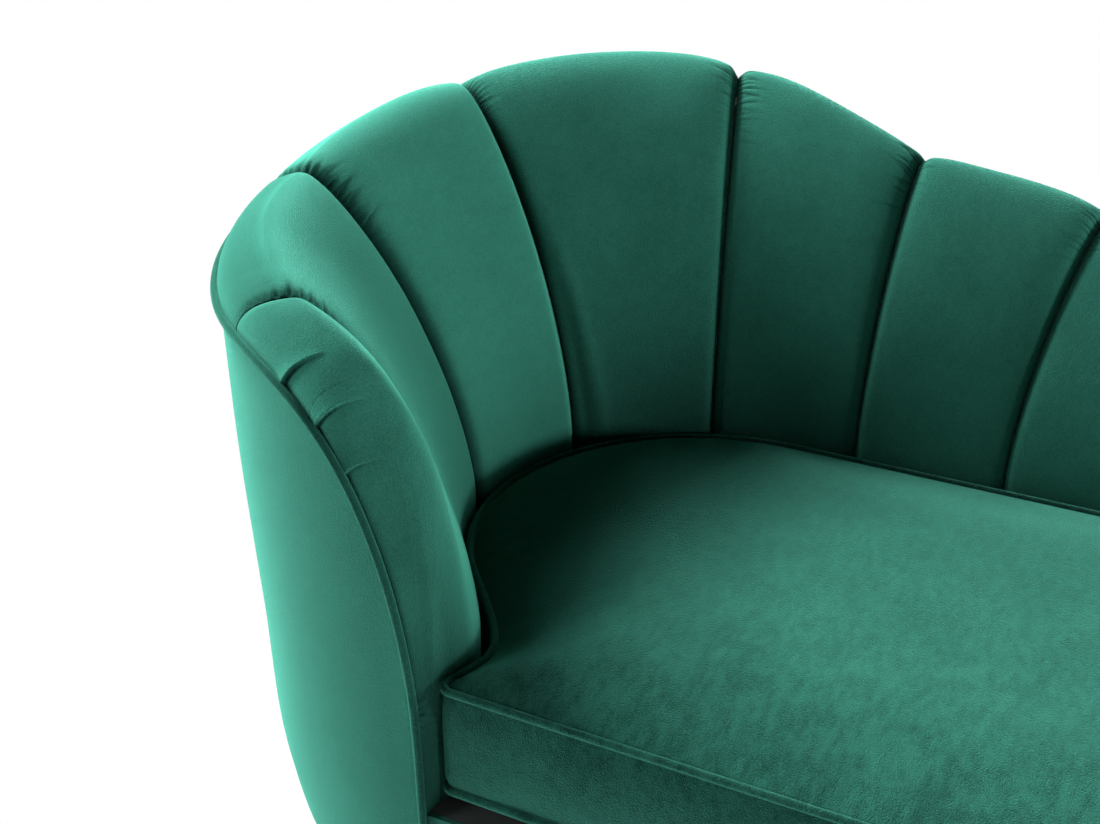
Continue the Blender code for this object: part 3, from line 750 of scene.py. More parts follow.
def grid_piece(name, points):
    """Grid of faces laid through rows and columns of points."""
    rows, columns = points.shape[:2]
    start_afresh()
    bpy.ops.mesh.primitive_grid_add(x_subdivisions=columns - 1, y_subdivisions=rows - 1, size=1)
    piece = bpy.context.object
    piece.name = piece.data.name = name
    if len(piece.data.vertices) != rows * columns:
        raise RuntimeError(f"{name}: the grid has {len(piece.data.vertices)} points, not {rows * columns}")
    place_points(piece, points)
    return piece


def mesh_piece(name, points, faces):
    """Piece from points and faces. Points in the same place are made one."""
    mesh = bpy.data.meshes.new(name)
    mesh.from_pydata([tuple(p) for p in points], [], [tuple(f) for f in faces])
    piece = bpy.data.objects.new(name, mesh)
    bpy.context.scene.collection.objects.link(piece)
    weld(piece)
    return piece


def paint_light(piece, nap):
    """Painted light and shade: how much lighter or darker each point of a piece is drawn, kept on the piece.
    """
    layer = piece.data.attributes.new("nap", "FLOAT", "POINT")
    layer.data.foreach_set("value", np.ascontiguousarray(nap, np.float32).ravel())


def thicken(piece, thickness):
    """Closed body from a sheet, with its thickness behind the face."""
    pick(piece)
    bpy.ops.object.modifier_add(type="SOLIDIFY")
    modifier = piece.modifiers[-1]
    modifier.thickness = thickness
    modifier.offset = -1.0
    bpy.ops.object.modifier_apply(modifier=modifier.name)


def weld(piece):
    """Points in the same place made one, and faces turned outwards."""
    pick(piece)
    bpy.ops.object.mode_set(mode="EDIT")
    bpy.ops.mesh.select_all(action="SELECT")
    bpy.ops.mesh.remove_doubles(threshold=WELD)
    bpy.ops.mesh.normals_make_consistent(inside=False)
    bpy.ops.object.mode_set(mode="OBJECT")


def piping_piece(name, route, closed=False):
    """Round piping along a route of points, as a mesh."""
    start_afresh()
    curve = bpy.data.curves.new(name, "CURVE")
    curve.dimensions = "3D"
    curve.bevel_depth = PIPE_R * PIPE_FULL
    curve.bevel_resolution = PIPE_ROUNDING
    curve.use_fill_caps = not closed
    spline = curve.splines.new("POLY")
    spline.points.add(len(route) - 1)
    for point, place in zip(spline.points, route):
        point.co = (*place, 1)
    spline.use_cyclic_u = closed
    piece = bpy.data.objects.new(name, curve)
    bpy.context.scene.collection.objects.link(piece)
    pick(piece)
    bpy.ops.object.convert(target="MESH")
    piece = bpy.context.object
    weld(piece)
    return piece


def hand_over(piece, material, body, node):
    """Smooth shading, finish and place of a piece on its body, in the stead of a frame node."""
    pick(piece)
    bpy.ops.object.shade_smooth_by_angle(angle=math.radians(SMOOTH_BELOW))
    piece.data.materials.clear()
    piece.data.materials.append(bpy.data.materials[material])
    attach(piece, body)
    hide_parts(node)


# Finishes.


def feed(tree, value, socket):
    """Socket set to a value, or linked to another socket."""
    if isinstance(value, bpy.types.NodeSocket):
        tree.links.new(value, socket)
    else:
        socket.default_value = value


def set_inputs(tree, node, **values):
    """Inputs of a node set or linked by name."""
    for name, value in values.items():
        feed(tree, value, node.inputs[name.replace("_", " ")])


def add_node(tree, kind, **values):
    """Shader node with its inputs set or linked by name."""
    node = tree.nodes.new(kind)
    set_inputs(tree, node, **values)
    return node


def noise(tree, place, scale, detail=2.0, rough=0.5):
    """Noise read at a place socket."""
    node = add_node(tree, "ShaderNodeTexNoise", Vector=place, Scale=scale, Detail=detail, Roughness=rough)
    return node.outputs["Fac"]


def mapped(tree, place, **values):
    """Place socket turned or stretched."""
    return add_node(tree, "ShaderNodeMapping", Vector=place, **values).outputs["Vector"]


def calc(tree, operation, *values):
    """Math node of values or sockets."""
    node = tree.nodes.new("ShaderNodeMath")
    node.operation = operation
    for socket, value in zip(node.inputs, values):
        feed(tree, value, socket)
    return node.outputs[0]


def scaled(tree, vector, scale):
    """Vector or colour socket times a value."""
    node = tree.nodes.new("ShaderNodeVectorMath")
    node.operation = "SCALE"
    tree.links.new(vector, node.inputs[0])
    tree.links.new(scale, node.inputs["Scale"])
    return node.outputs["Vector"]


def weighted(tree, first, first_share, second, second_share):
    """Sum of two sockets, each times its share."""
    first = calc(tree, "MULTIPLY", first, first_share)
    return calc(tree, "ADD", first, calc(tree, "MULTIPLY", second, second_share))


def blend_colours(tree, share, first, second):
    """Colour mix of two colours or sockets by a share."""
    node = tree.nodes.new("ShaderNodeMix")
    node.data_type = "RGBA"
    tree.links.new(share, node.inputs[0])
    for socket, value in ((node.inputs[6], first), (node.inputs[7], second)):
        colour = value if isinstance(value, bpy.types.NodeSocket) else (*value[:3], 1)
        feed(tree, colour, socket)
    return node.outputs[2]


def group_tree(name, inputs, outputs):
    """Empty shader group with a place, value inputs and value outputs: its tree, input and output node."""
    tree = bpy.data.node_groups.new(name, "ShaderNodeTree")
    tree.interface.new_socket("Place", in_out="INPUT", socket_type="NodeSocketVector")
    for label in inputs:
        socket = tree.interface.new_socket(label, in_out="INPUT", socket_type="NodeSocketFloat")
        socket.default_value = 1.0
    for label in outputs:
        tree.interface.new_socket(label, in_out="OUTPUT", socket_type="NodeSocketFloat")
    return tree, tree.nodes.new("NodeGroupInput"), tree.nodes.new("NodeGroupOutput")


def pile_group():
    """Pile of a cut cloth: slow brushed patches, small strokes and the grain of the pile."""
    tree, into, out = group_tree("brushed_pile", ("Brushing", "Strokes", "Grain"), ("Shade", "Height"))
    place = into.outputs["Place"]
    drawn = mapped(tree, place, Rotation=PILE_TURN, Scale=PILE_STRETCH)
    layers = []
    for label, where, look in (
        ("Brushing", place, PILE_PATCHES),
        ("Strokes", drawn, PILE_STROKES),
        ("Grain", place, PILE_GRAIN),
    ):
        even = calc(tree, "SUBTRACT", noise(tree, where, *look), 0.5)
        layers.append(calc(tree, "MULTIPLY", even, into.outputs[label]))
    patches, strokes, grain = layers
    shade = calc(tree, "ADD", patches, strokes)
    shade = calc(tree, "ADD", shade, calc(tree, "MULTIPLY", grain, PILE_GRAIN_SHADE))
    height = calc(tree, "ADD", calc(tree, "MULTIPLY", strokes, PILE_STROKE_HEIGHT), grain)
    set_inputs(tree, out, Shade=calc(tree, "ADD", shade, 0.5), Height=height)


def grain_group():
    """Grain of sawn or turned wood along one way of the piece."""
    tree, into, out = group_tree("wood_grain", ("Fineness",), ("Figure", "Pores"))
    place = scaled(tree, into.outputs["Place"], into.outputs["Fineness"])
    figure = add_node(tree, "ShaderNodeTexNoise", Vector=place, Scale=22.0, Detail=5.0, Distortion=1.2)
    set_inputs(tree, out, Figure=figure.outputs["Fac"], Pores=noise(tree, place, *WOOD_PORES))


def new_material(name):
    """Material with its shader: the material, its tree, the shader and the Object coordinates."""
    material = bpy.data.materials.new(name)
    material.use_nodes = True
    tree = material.node_tree
    place = tree.nodes.new("ShaderNodeTexCoord").outputs["Object"]
    return material, tree, tree.nodes["Principled BSDF"], place


def use_group(tree, group, place, **values):
    """Outputs of a group node fed by a place and its own values."""
    node = tree.nodes.new("ShaderNodeGroup")
    node.node_tree = bpy.data.node_groups[group]
    set_inputs(tree, node, Place=place, **values)
    return node.outputs


def bumped(tree, height, distance, strength=1.0):
    """Normal socket made from a height."""
    node = add_node(tree, "ShaderNodeBump", Height=height, Strength=strength, Distance=distance)
    return node.outputs["Normal"]


def velvet(name, finish, brushing, strokes, grain):
    """Cut velvet: a deep ground with brushed patches, a painted sheen where it is seen edge-on, and painted
    light and shade by point.
    """
    _, tree, shader, place = new_material(name)
    pile = use_group(tree, "brushed_pile", place, Brushing=brushing, Strokes=strokes, Grain=grain)
    ground = blend_colours(tree, pile["Shade"], finish.velvet_deep, finish.velvet_raised)
    # Painted sheen: a brighter colour mixed in where the velvet is seen edge-on.
    turned = add_node(tree, "ShaderNodeLayerWeight", Blend=0.5)
    edge = calc(tree, "MULTIPLY", calc(tree, "POWER", turned.outputs["Facing"], 2.0), finish.velvet_painted_sheen_share)
    sheen = blend_colours(tree, edge, ground, finish.velvet_painted_sheen)
    # Painted light and shade: each point's nap value scales the velvet's colour.
    nap = tree.nodes.new("ShaderNodeAttribute")
    nap.attribute_name = "nap"
    set_inputs(
        tree,
        shader,
        Base_Color=scaled(tree, sheen, calc(tree, "ADD", nap.outputs["Fac"], 1.0)),
        Roughness=0.9,
        Specular_IOR_Level=0.0,
        Sheen_Weight=finish.velvet_sheen,
        Sheen_Roughness=0.38,
        Sheen_Tint=(*finish.velvet_rim, 1),
        Normal=bumped(tree, pile["Height"], PILE_BUMP),
    )


def cloth(name, colour, lift):
    """Plain woven lining cloth."""
    _, tree, shader, place = new_material(name)
    waves = []
    for way in ("X", "Y"):
        wave = add_node(tree, "ShaderNodeTexWave", Vector=place, Scale=330.0, Distortion=0.4)
        wave.bands_direction = way
        waves.append(wave.outputs["Fac"])
    weave = calc(tree, "MULTIPLY", *waves)
    fleck = weighted(tree, weave, 0.6, noise(tree, place, 60.0, 4.0), 0.4)
    base = blend_colours(tree, fleck, colour, lift)
    normal = bumped(tree, weave, 0.0004)
    set_inputs(tree, shader, Base_Color=base, Roughness=0.95, Sheen_Weight=0.15, Normal=normal)


def wood(name, dark, light, rough, along, fineness, coat=0.0):
    """Wood with its grain drawn out along one way."""
    _, tree, shader, place = new_material(name)
    grain = use_group(tree, "wood_grain", mapped(tree, place, Scale=along), Fineness=fineness)
    share = weighted(tree, grain["Figure"], 0.75, grain["Pores"], 0.3)
    base = blend_colours(tree, share, dark, light)
    dull = calc(tree, "MULTIPLY_ADD", grain["Pores"], 0.2, rough - 0.1)
    normal = bumped(tree, grain["Pores"], 0.0004, 0.5)
    set_inputs(tree, shader, Base_Color=base, Roughness=dull, Coat_Weight=coat, Normal=normal)


def metal(name, colour, rough):
    """Metal with fine drawn scratches."""
    _, tree, shader, place = new_material(name)
    marks = noise(tree, place, *METAL_MARKS)
    dull = calc(tree, "MULTIPLY_ADD", marks, 0.3, rough - 0.15)
    normal = bumped(tree, marks, 0.0002, 0.3)
    set_inputs(tree, shader, Base_Color=(*colour, 1), Metallic=1.0, Roughness=dull, Normal=normal)


def plastic(name, colour):
    """Moulded plastic with a fine even texture."""
    _, tree, shader, place = new_material(name)
    fine = noise(tree, place, 900.0, 2.0)
    base = blend_colours(tree, fine, colour, tuple(1.6 * c + 0.004 for c in colour))
    set_inputs(tree, shader, Base_Color=base, Roughness=0.5, Normal=bumped(tree, fine, 0.0002, 0.4))


def seen_directly(tree):
    """1 for rays from the camera, or by way of a mirror or glass, and 0 for light on other things."""
    path = tree.nodes.new("ShaderNodeLightPath").outputs
    seen = calc(tree, "MAXIMUM", path["Is Camera Ray"], path["Is Glossy Ray"])
    return calc(tree, "MAXIMUM", seen, path["Is Transmission Ray"])


def blend_shaders(tree, share, first, second, out):
    """Mix of two shader nodes by a share, fed to an output node."""
    mix = tree.nodes.new("ShaderNodeMixShader")
    for socket, value in zip(mix.inputs, (share, first.outputs[0], second.outputs[0])):
        tree.links.new(value, socket)
    tree.links.new(mix.outputs[0], out.inputs["Surface"])


# Values that a user would change.


def length_value(name, description, default):
    """Property for a length in metres."""
    return FloatProperty(name=name, description=description, default=default, unit="LENGTH")


def power_value(name, description, default):
    """Property for a lamp's power."""
    return FloatProperty(name=name, description=description, default=default, unit="POWER")


def share_value(name, description, default):
    """Property for a share from 0 to 1."""
    return FloatProperty(name=name, description=description, default=default, min=0.0, max=1.0)


def colour_value(name, description, default):
    """Property for a colour."""
    return FloatVectorProperty(name=name, description=description, subtype="COLOR", default=default)


class BackValues(PropertyGroup):
    puff: length_value("Puff", "Swell of a channel in its middle", 0.017)
    arm_puff: length_value("Arm puff", "Swell of the arm's channel", 0.008)
    gather: FloatProperty(
        name="Gathers", description="Depth of the gathers, as drawn at 1", default=1.0, min=0.0
    )
    pleat: length_value("Pleats", "Height of the lip of a pleat", 0.0028)
    fold: length_value("Fold", "Depth of the slack fold", 0.0035)
    slack: length_value("Slack", "Height of the cloth's slow waves", 0.0008)


class CushionValues(PropertyGroup):
    crown: length_value("Crown", "Rise of the top above its piping", 0.024)
    side_in: length_value("Side", "Inset of the boxing at mid height", 0.002)
    slack: length_value("Slack", "Height of the cloth's slow waves", 0.0010)
    pressure: FloatProperty(name="Pressure", description="Pressure of the filling on the cloth", default=4.0)
    cap: length_value("Give", "Most that the cloth gives", 0.007)


class FinishValues(PropertyGroup):
    velvet_deep: colour_value("Velvet ground", "Velvet where the pile lies away", (0.016, 0.090, 0.066))
    velvet_raised: colour_value("Velvet pile", "Velvet where the pile lies open", (0.036, 0.195, 0.143))
    velvet_rim: colour_value("Velvet sheen", "Sheen at grazing edges", (0.18, 0.72, 0.55))
    # Painted sheen: its colour and share, mixed into the velvet where it is seen edge-on.
    velvet_painted_sheen: colour_value("Velvet edge", "Velvet seen along its pile", (0.085, 0.45, 0.33))
    velvet_painted_sheen_share: share_value("Edge", "Share of the edge colour", 0.75)
    velvet_sheen: share_value("Sheen", "Strength of the sheen", 0.9)
    # Dark lining cloth, taken further down to near black as painted shade under the cushion and rails.
    lining: colour_value("Lining", "Deck and dust cover cloth", (0.0010, 0.0016, 0.0014))
    leg_dark: colour_value("Leg grain", "Dark grain of the legs", (0.016, 0.007, 0.004))
    leg_light: colour_value("Leg wood", "Open wood of the legs", (0.085, 0.040, 0.020))


class StageValues(PropertyGroup):
    floor: colour_value("Floor", "Colour of the floor", (0.86, 0.86, 0.86))
    key: power_value("Key lamp", "Power of the main lamp, past the head", 80.0)
    wide: power_value("Wide lamp", "Power of the broad lamp past the head", 50.0)
    head: power_value("Head lamp", "Power of the lamp beside the head", 33.0)
    foot: power_value("Foot lamp", "Power of the low lamp past the foot", 68.0)
    front: power_value("Front lamp", "Power of the lamp in front", 14.0)
    low: power_value("Low lamp", "Power of the low lamp in front of the foot", 4.5)
    rim: power_value("Rim lamp", "Power of the lamp behind the back", 15.0)
    lens: FloatProperty(name="Lens", description="Focal length in millimetres", default=51.58)


# Operators.


class CHAISE_OT_stage(Operator):
    """Floor, lamps, world and camera"""

    bl_idname = "chaise.stage"
    bl_label = "Stage"

    def execute(self, context):
        values = context.scene.chaise_stage
        self.floor(values.floor)
        for name, way, rise, size in LAMPS:
            self.lamp(name, way, rise, size, getattr(values, name))
        self.world()
        self.camera(values.lens)
        return {"FINISHED"}

    def floor(self, colour):
        """Pale floor, which the camera sees as white with a soft shade round the object."""
        start_afresh()
        bpy.ops.mesh.primitive_plane_add(size=FLOOR_SIZE)
        floor = bpy.context.object
        floor.name = "floor"
        material, tree, shader, place = new_material("pale_floor")
        set_inputs(tree, shader, Base_Color=(*colour, 1), Roughness=0.9, Specular_IOR_Level=0.0)
        far = tree.nodes.new("ShaderNodeVectorMath")
        far.operation = "LENGTH"
        tree.links.new(mapped(tree, place, Scale=FLOOR_SQUEEZE), far.inputs[0])
        fade = add_node(tree, "ShaderNodeMapRange", Value=far.outputs["Value"], **FLOOR_FADE)
        fade.interpolation_type = "SMOOTHSTEP"
        share = calc(tree, "MULTIPLY", seen_directly(tree), fade.outputs["Result"])
        glow = add_node(tree, "ShaderNodeEmission", Color=WHITE)
        blend_shaders(tree, share, shader, glow, tree.nodes["Material Output"])
        floor.data.materials.append(material)

    def lamp(self, name, way, rise, size, power):
        """Disc lamp aimed at the head of the seat, from a compass way and a rise in degrees."""
        way, rise = math.radians(way), math.radians(rise)
        out = Vector((math.cos(rise) * math.cos(way), math.cos(rise) * math.sin(way), math.sin(rise)))
        bpy.ops.object.light_add(type="AREA", location=LAMP_AIM + LAMP_DISTANCE * out)
        lamp = bpy.context.object
        lamp.name = f"{name}_lamp"
        lamp.data.shape = "DISK"
        lamp.data.size = size
        lamp.data.energy = power
        lamp.rotation_euler = out.to_track_quat("Z", "Y").to_euler()

    def world(self):
        """White backdrop that gives little light of its own."""
        world = bpy.context.scene.world or bpy.data.worlds.new("studio")
        bpy.context.scene.world = world
        world.use_nodes = True
        tree = world.node_tree
        tree.nodes.clear()
        light = add_node(tree, "ShaderNodeBackground", Color=WHITE, Strength=WORLD_LIGHT)
        backdrop = add_node(tree, "ShaderNodeBackground", Color=WHITE, Strength=1.0)
        out = tree.nodes.new("ShaderNodeOutputWorld")
        blend_shaders(tree, seen_directly(tree), light, backdrop, out)
        bpy.context.scene.view_settings.view_transform = "Standard"

    def camera(self, lens):
        """Camera of the photograph."""
        place = (ORIGIN[0] + CAMERA_PLACE[0], ORIGIN[1] + CAMERA_PLACE[1], CAMERA_PLACE[2])
        turn = (math.radians(CAMERA_TILT), 0, math.radians(CAMERA_TURN))
        bpy.ops.object.camera_add(location=place, rotation=turn)
        camera = bpy.context.object
        camera.data.lens = lens
        camera.data.sensor_width = SENSOR_W
        bpy.context.scene.camera = camera


class CHAISE_OT_finishes(Operator):
    """Velvet, lining, wood, steel and plastic, and their places on the frame's own pieces"""

    bl_idname = "chaise.finishes"
    bl_label = "Finishes"

    def execute(self, context):
        values = context.scene.chaise_finish
        pile_group()
        grain_group()
        for name, pile in VELVETS.items():
            velvet(name, values, *pile)
        # The lining's near-black colour is partly painted shade under the cushion.
        cloth("lining_cloth", values.lining, tuple(2.2 * c for c in values.lining))
        wood("leg_wood", values.leg_dark, values.leg_light, 0.42, (1.0, 1.0, 0.10), 1.6, 0.25)
        wood("frame_timber", (0.26, 0.15, 0.070), (0.52, 0.36, 0.20), 0.65, (0.12, 0.6, 1.0), 1.0)
        wood("frame_board", (0.33, 0.21, 0.110), (0.58, 0.43, 0.27), 0.70, (0.5, 0.5, 0.25), 0.8)
        metal("bright_steel", (0.55, 0.56, 0.58), 0.35)
        plastic("glide_plastic", (0.012, 0.012, 0.013))
        for name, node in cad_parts.items():
            for words, material in FRAME_FINISHES:
                if words in name:
                    node.data.materials.clear()
                    node.data.materials.append(bpy.data.materials[material])
                    break
        return {"FINISHED"}


class CHAISE_OT_channels(Operator):
    """Padded channels of the back, with their gathers, pleats and slack fold"""

    bl_idname = "chaise.channels"
    bl_label = "Back channels"

    def execute(self, context):
        values = context.scene.chaise_back
        for channel in range(CHANNELS):
            piece = self.channel(channel, values)
            thicken(piece, PAD_SKIN)
            if channel == 0:
                self.tuck_lining(piece)
            hand_over(piece, "velvet_back", "frame", f"back_channel_{channel + 1}")
        return {"FINISHED"}

    def channel(self, channel, values):
        """Sheet of one channel, with its painted light and shade. Channel 0 goes round the front of the arm.
        """
        arm = channel == 0
        shares = (1 - np.cos(np.linspace(0, math.pi, CHANNEL_COLUMNS))) / 2
        if arm:
            shares = np.union1d(shares, PLEAT_COLUMNS)
        places = SEAM_MARGIN + (1 - 2 * SEAM_MARGIN) * shares
        sections = [Section(channel + place) for place in places]
        rest = np.stack([section.face() for section in sections], axis=1)
        steps = np.linalg.norm(np.diff(rest, axis=1), axis=2)
        across = np.concatenate((np.zeros((len(rest), 1)), np.cumsum(steps, axis=1)), axis=1)
        climb = np.concatenate((np.linalg.norm(np.diff(rest, axis=0), axis=2), np.zeros((1, len(shares)))))
        from_pipe = np.cumsum(climb[::-1], axis=0)[::-1]
        gathered = self.gathered(channel, rest, across) * values.gather
        inward, crease = self.creases(channel, across)

        swell = np.sqrt(np.clip(1 - np.abs(2 * shares - 1) ** SWELL_POWER, 0, 1))
        puff = values.puff * FULLER.get(channel, 1.0)
        if arm:
            swell = np.where(shares < 0.5, 1 - (1 - 2 * shares) ** ARM_SWELL_POWER, swell)
            puff = values.arm_puff
        push = puff * swell * ROW_SWELL[:, None]
        push += gathered
        seed, length = CHANNEL_WAVES
        fade = np.minimum(swell, ROW_SWELL[:, None])
        push += values.slack * soft_waves(rest, seed + channel, length) * fade
        if arm:
            push *= smooth_step(from_pipe / ARM_CALM)
        push -= inward
        # Painted shade in the gathers and beside the piping, on top of the seams' painted shade.
        crease = np.maximum(crease, np.clip(-gathered / GATHER_SHADE_DEPTH, 0, GATHER_SHADE))
        crease = np.maximum(crease, PIPE_SHADE * bump(from_pipe, 0, PIPE_SHADE_W))
        if arm:
            tucks, lines = self.pleats(places, rest, values.pleat)
            push += tucks
            crease = np.maximum(crease, lines)
        if channel == FOLD_CHANNEL:
            push += self.slack_fold(across, values.fold)
        points = rest + push[..., None] * self.normals(channel + places, rest)

        light = 1.0
        if arm:
            strip = self.strip(sections[0], points[:, 0])
            points = np.concatenate((strip, points), axis=1)
            beside = bump(np.linalg.norm(strip - strip[:, :1], axis=2), 0, PIPE_SHADE_W)
            crease = np.concatenate((PIPE_SHADE * beside, crease), axis=1)
            strip_light = np.full(STRIP_COLUMNS, STRIP_PAINTED_SHADE)
            light = np.concatenate((strip_light, np.interp(places, ARM_PLACES, ARM_PAINTED_LIGHT)))
        piece = grid_piece(f"velvet_channel_{channel + 1}", points)
        # Painted light and shade: by row, darkened by the painted shade in the creases, and by section on the
        # arm.
        channel_light = CHANNEL_PAINTED_LIGHT[channel] if channel < len(CHANNEL_PAINTED_LIGHT) else PLAIN_PAINTED_LIGHT
        nap = np.interp(np.where(ROW_SIDE < 0, ROW_DEGREES, 180 - ROW_DEGREES), PAINTED_LIGHT_TURNS, channel_light)
        paint_light(piece, (1 + nap[:, None]) * (1 - CREASE_PAINTED_SHADE * crease) * light - 1)
        return piece

    def tuck_lining(self, piece):
        """Inner skin drawn straight in where the front of the arm ends, so that the outer cover hides it."""
        skins = points_of(piece).reshape(2, len(ROW_TURN), -1, 3)
        last = (ROW_SIDE > 0) & (ROW_DEGREES < TUCK_BELOW)
        tucked = skins[0][last, :TUCK_COLUMNS]
        tucked[..., :2] -= PAD_SKIN * Section(SEAM_MARGIN).along
        skins[1][np.ix_(last, np.arange(TUCK_COLUMNS))] = tucked
        place_points(piece, skins)

    def creases(self, channel, across):
        """How far the cloth is drawn in at the seams beside a channel, and how much painted shade lies there.
        """
        on_face = ROW_SIDE < 0
        depth = np.where(on_face, 1.0, np.clip(ROW_TURN / math.radians(CREASE_ROLL), 0, 1)) * ROW_LOW
        on_roll = ROLL_CREASE[0] + ROLL_CREASE[1] * np.sin(ROW_TURN)
        open_up = np.where(on_face, FACE_CREASE[0] + FACE_CREASE[1] * np.sin(ROW_TURN), on_roll)
        inward, crease = np.zeros(across.shape), np.zeros(across.shape)
        sides = ((channel, across, 1), (channel + 1, across[:, -1:] - across, 0))
        for seam, away, side in sides:
            if not 0 < seam < CHANNELS:
                continue
            widths = CREASES.get(seam, PLAIN_CREASE)
            inward = np.maximum(inward, widths[2] * depth[:, None] * bump(away, 0, CREASE_REACH))
            width = widths[side] * open_up
            dark = np.exp(-((away / width[:, None]) ** CREASE_POWER))
            crease = np.maximum(crease, dark * np.clip(CREASE_LEAST + depth, 0, 1)[:, None])
        return inward, crease

    def normals(self, places, rest):
        """Way straight out of the face at each point."""
        ahead = np.stack([Section(u + FACE_STEP).face() for u in places], axis=1)
        behind = np.stack([Section(max(u - FACE_STEP, FIRST_SECTION)).face() for u in places], axis=1)
        normal = np.cross(ahead - behind, np.gradient(rest, axis=0))
        return normal / np.maximum(np.linalg.norm(normal, axis=2, keepdims=True), 1e-9)

    def gathered(self, channel, rest, across):
        """Gathers along the two seams of a channel."""
        total = np.zeros(across.shape)
        for k, (seam, side, *drawn) in enumerate(GATHERS):
            if (seam, side) == (channel, "after"):
                line, away = rest[:, 0], across
            elif (seam, side) == (channel + 1, "before"):
                line, away = rest[:, -1], across[:, -1:] - across
            else:
                continue
            along = distances(line)
            total += gathers(along - along[CREST_ROW], away, *drawn, GATHER_SEED + k)
        return total

    def pleats(self, places, rest, lip):
        """Tucks that start at the piping: the upper cloth laps over the lower in a rounded lip, with painted
        shade along each tuck and in the hollow below.
        """
        total, lines = np.zeros(rest.shape[:2]), np.zeros(rest.shape[:2])
        speed = np.linalg.norm(np.gradient(rest, places, axis=1), axis=2)
        for place, sweep, end, strength in PLEATS:
            line = place - sweep * (ROW_DEGREES / end) ** PLEAT_CURVE
            away = (places[None, :] - line[:, None]) * speed
            fade = (np.clip(PLEAT_FADE * (1 - ROW_DEGREES / end), 0, 1) * (ROW_SIDE > 0))[:, None]
            upper = 0.5 + 0.5 * np.tanh(away / PLEAT_EDGE)
            above = upper * np.exp(-np.abs(away) / PLEAT_LIP_W)
            below = (1 - upper) * np.exp(-np.abs(away) / PLEAT_HOLLOW_W)
            total += strength * lip * fade * (above - PLEAT_HOLLOW * below)
            lines = np.maximum(lines, strength * fade * bump(away, *PLEAT_LINE))
            lines = np.maximum(lines, PLEAT_SHADE * strength * fade * below)
        return total, lines

    def slack_fold(self, across, depth):
        """Soft fold beside the seam on the lower half of the face."""
        fade = np.where(ROW_SIDE < 0, through(ROW_DEGREES, FOLD_TURNS, FOLD_FADE), 0)
        spread = np.interp(ROW_DEGREES, FOLD_SPREAD_TURNS, FOLD_SPREAD)[:, None]
        hollow, hollow_w = FOLD_HOLLOW
        ridge, ridge_w = FOLD_RIDGE
        fold = -bump(across, hollow * spread, hollow_w) + FOLD_RIDGE_H * bump(across, ridge * spread, ridge_w)
        return depth * fade[:, None] * fold

    def strip(self, section, line):
        """Columns that carry the front of the arm on to its upright piping."""
        runs = distances(line)
        low = DECK_TOP + GAP
        z = low + runs / runs[-1] * (section.edge_z - STRIP_END - low)
        upright = section.at(section.outside(z) - STRIP_UNDER, z)
        columns = []
        for share in np.linspace(1, 0, STRIP_COLUMNS, endpoint=False):
            points = line + share * (upright - line)
            level = bump(points[:, 2], *STRIP_CREASE)
            turn = (points[:, 2] - STRIP_CREASE_FALL * share) / STRIP_CREASE_PITCH
            crease = np.sin(turn) * np.sin(math.pi * share)
            columns.append(points + section.side * STRIP_CREASE_H * (crease * level)[:, None])
        return np.stack(columns, axis=1)


class CHAISE_OT_outer_cover(Operator):
    """Cover on the outside of the back, and the panel on its end"""

    bl_idname = "chaise.outer_cover"
    bl_label = "Outer cover"

    def execute(self, context):
        columns = []
        places = np.concatenate((
            COVER_BREAK * np.linspace(0, 1, COVER_CLOSE_COLUMNS, endpoint=False) ** 2,
            np.linspace(COVER_BREAK, CHANNELS, COVER_COLUMNS),
        ))
        for u in places:
            section = Section(min(max(u, FIRST_SECTION), LAST_SECTION))
            z = DUST_Z + (section.edge_z - EDGE_GAP - DUST_Z) * np.linspace(0, 1, COVER_ROWS) ** COVER_POWER
            columns.append(section.at(section.outside(z), z))
        points = np.stack(columns, axis=1)
        slope = np.cross(np.gradient(points, axis=0), np.gradient(points, axis=1))
        slope /= np.linalg.norm(slope, axis=2, keepdims=True)
        edge = np.sin(np.linspace(0, math.pi, COVER_ROWS))[:, None]
        points += slope * (COVER_WAVE_H * edge * soft_waves(points, *COVER_WAVES))[..., None]
        piece = grid_piece("velvet_outer_cover", points[:, ::-1])
        # Painted light on the outer cover beside the arm's piping.
        paint_light(piece, np.tile(np.interp(places[::-1], COVER_PLACES, COVER_PAINTED_LIGHT), (len(points), 1)))
        thicken(piece, COVER_T)
        hand_over(piece, "velvet_back", "frame", "outer_cover")
        self.end_panel()
        return {"FINISHED"}

    def end_panel(self):
        """Pad on the end of the back, between its face and its outer cover."""
        end = Section(LAST_SECTION)
        face = end.face()
        rise, roll = face[: CREST_ROW + 1], face[CREST_ROW:][::-1]
        z = np.linspace(DECK_TOP + GAP, end.edge_z, END_WALL_ROWS, endpoint=False)
        fall = np.vstack((end.at(end.outside(z), z), roll))
        shares = np.linspace(0, 1, END_ROWS)
        near = self.spaced(rise, shares)
        far = self.spaced(fall, shares)
        across = np.linspace(0, 1, END_COLUMNS)[None, :, None]
        points = near[:, None] + (far - near)[:, None] * across
        power, power_up = END_POWERS
        swell = np.sin(math.pi * across) ** power * (np.sin(math.pi * shares) ** power_up)[:, None, None]
        points = points - end.side * (COVER_T * END_SEAT + END_SWELL * swell)
        piece = grid_piece("velvet_end_panel", points)
        weld(piece)
        thicken(piece, COVER_T)
        hand_over(piece, "velvet_back", "frame", "back_end_panel")

    def spaced(self, line, shares):
        """Points at shares of the way along a line."""
        runs = distances(line)
        return points_at(line, runs, shares * runs[-1])


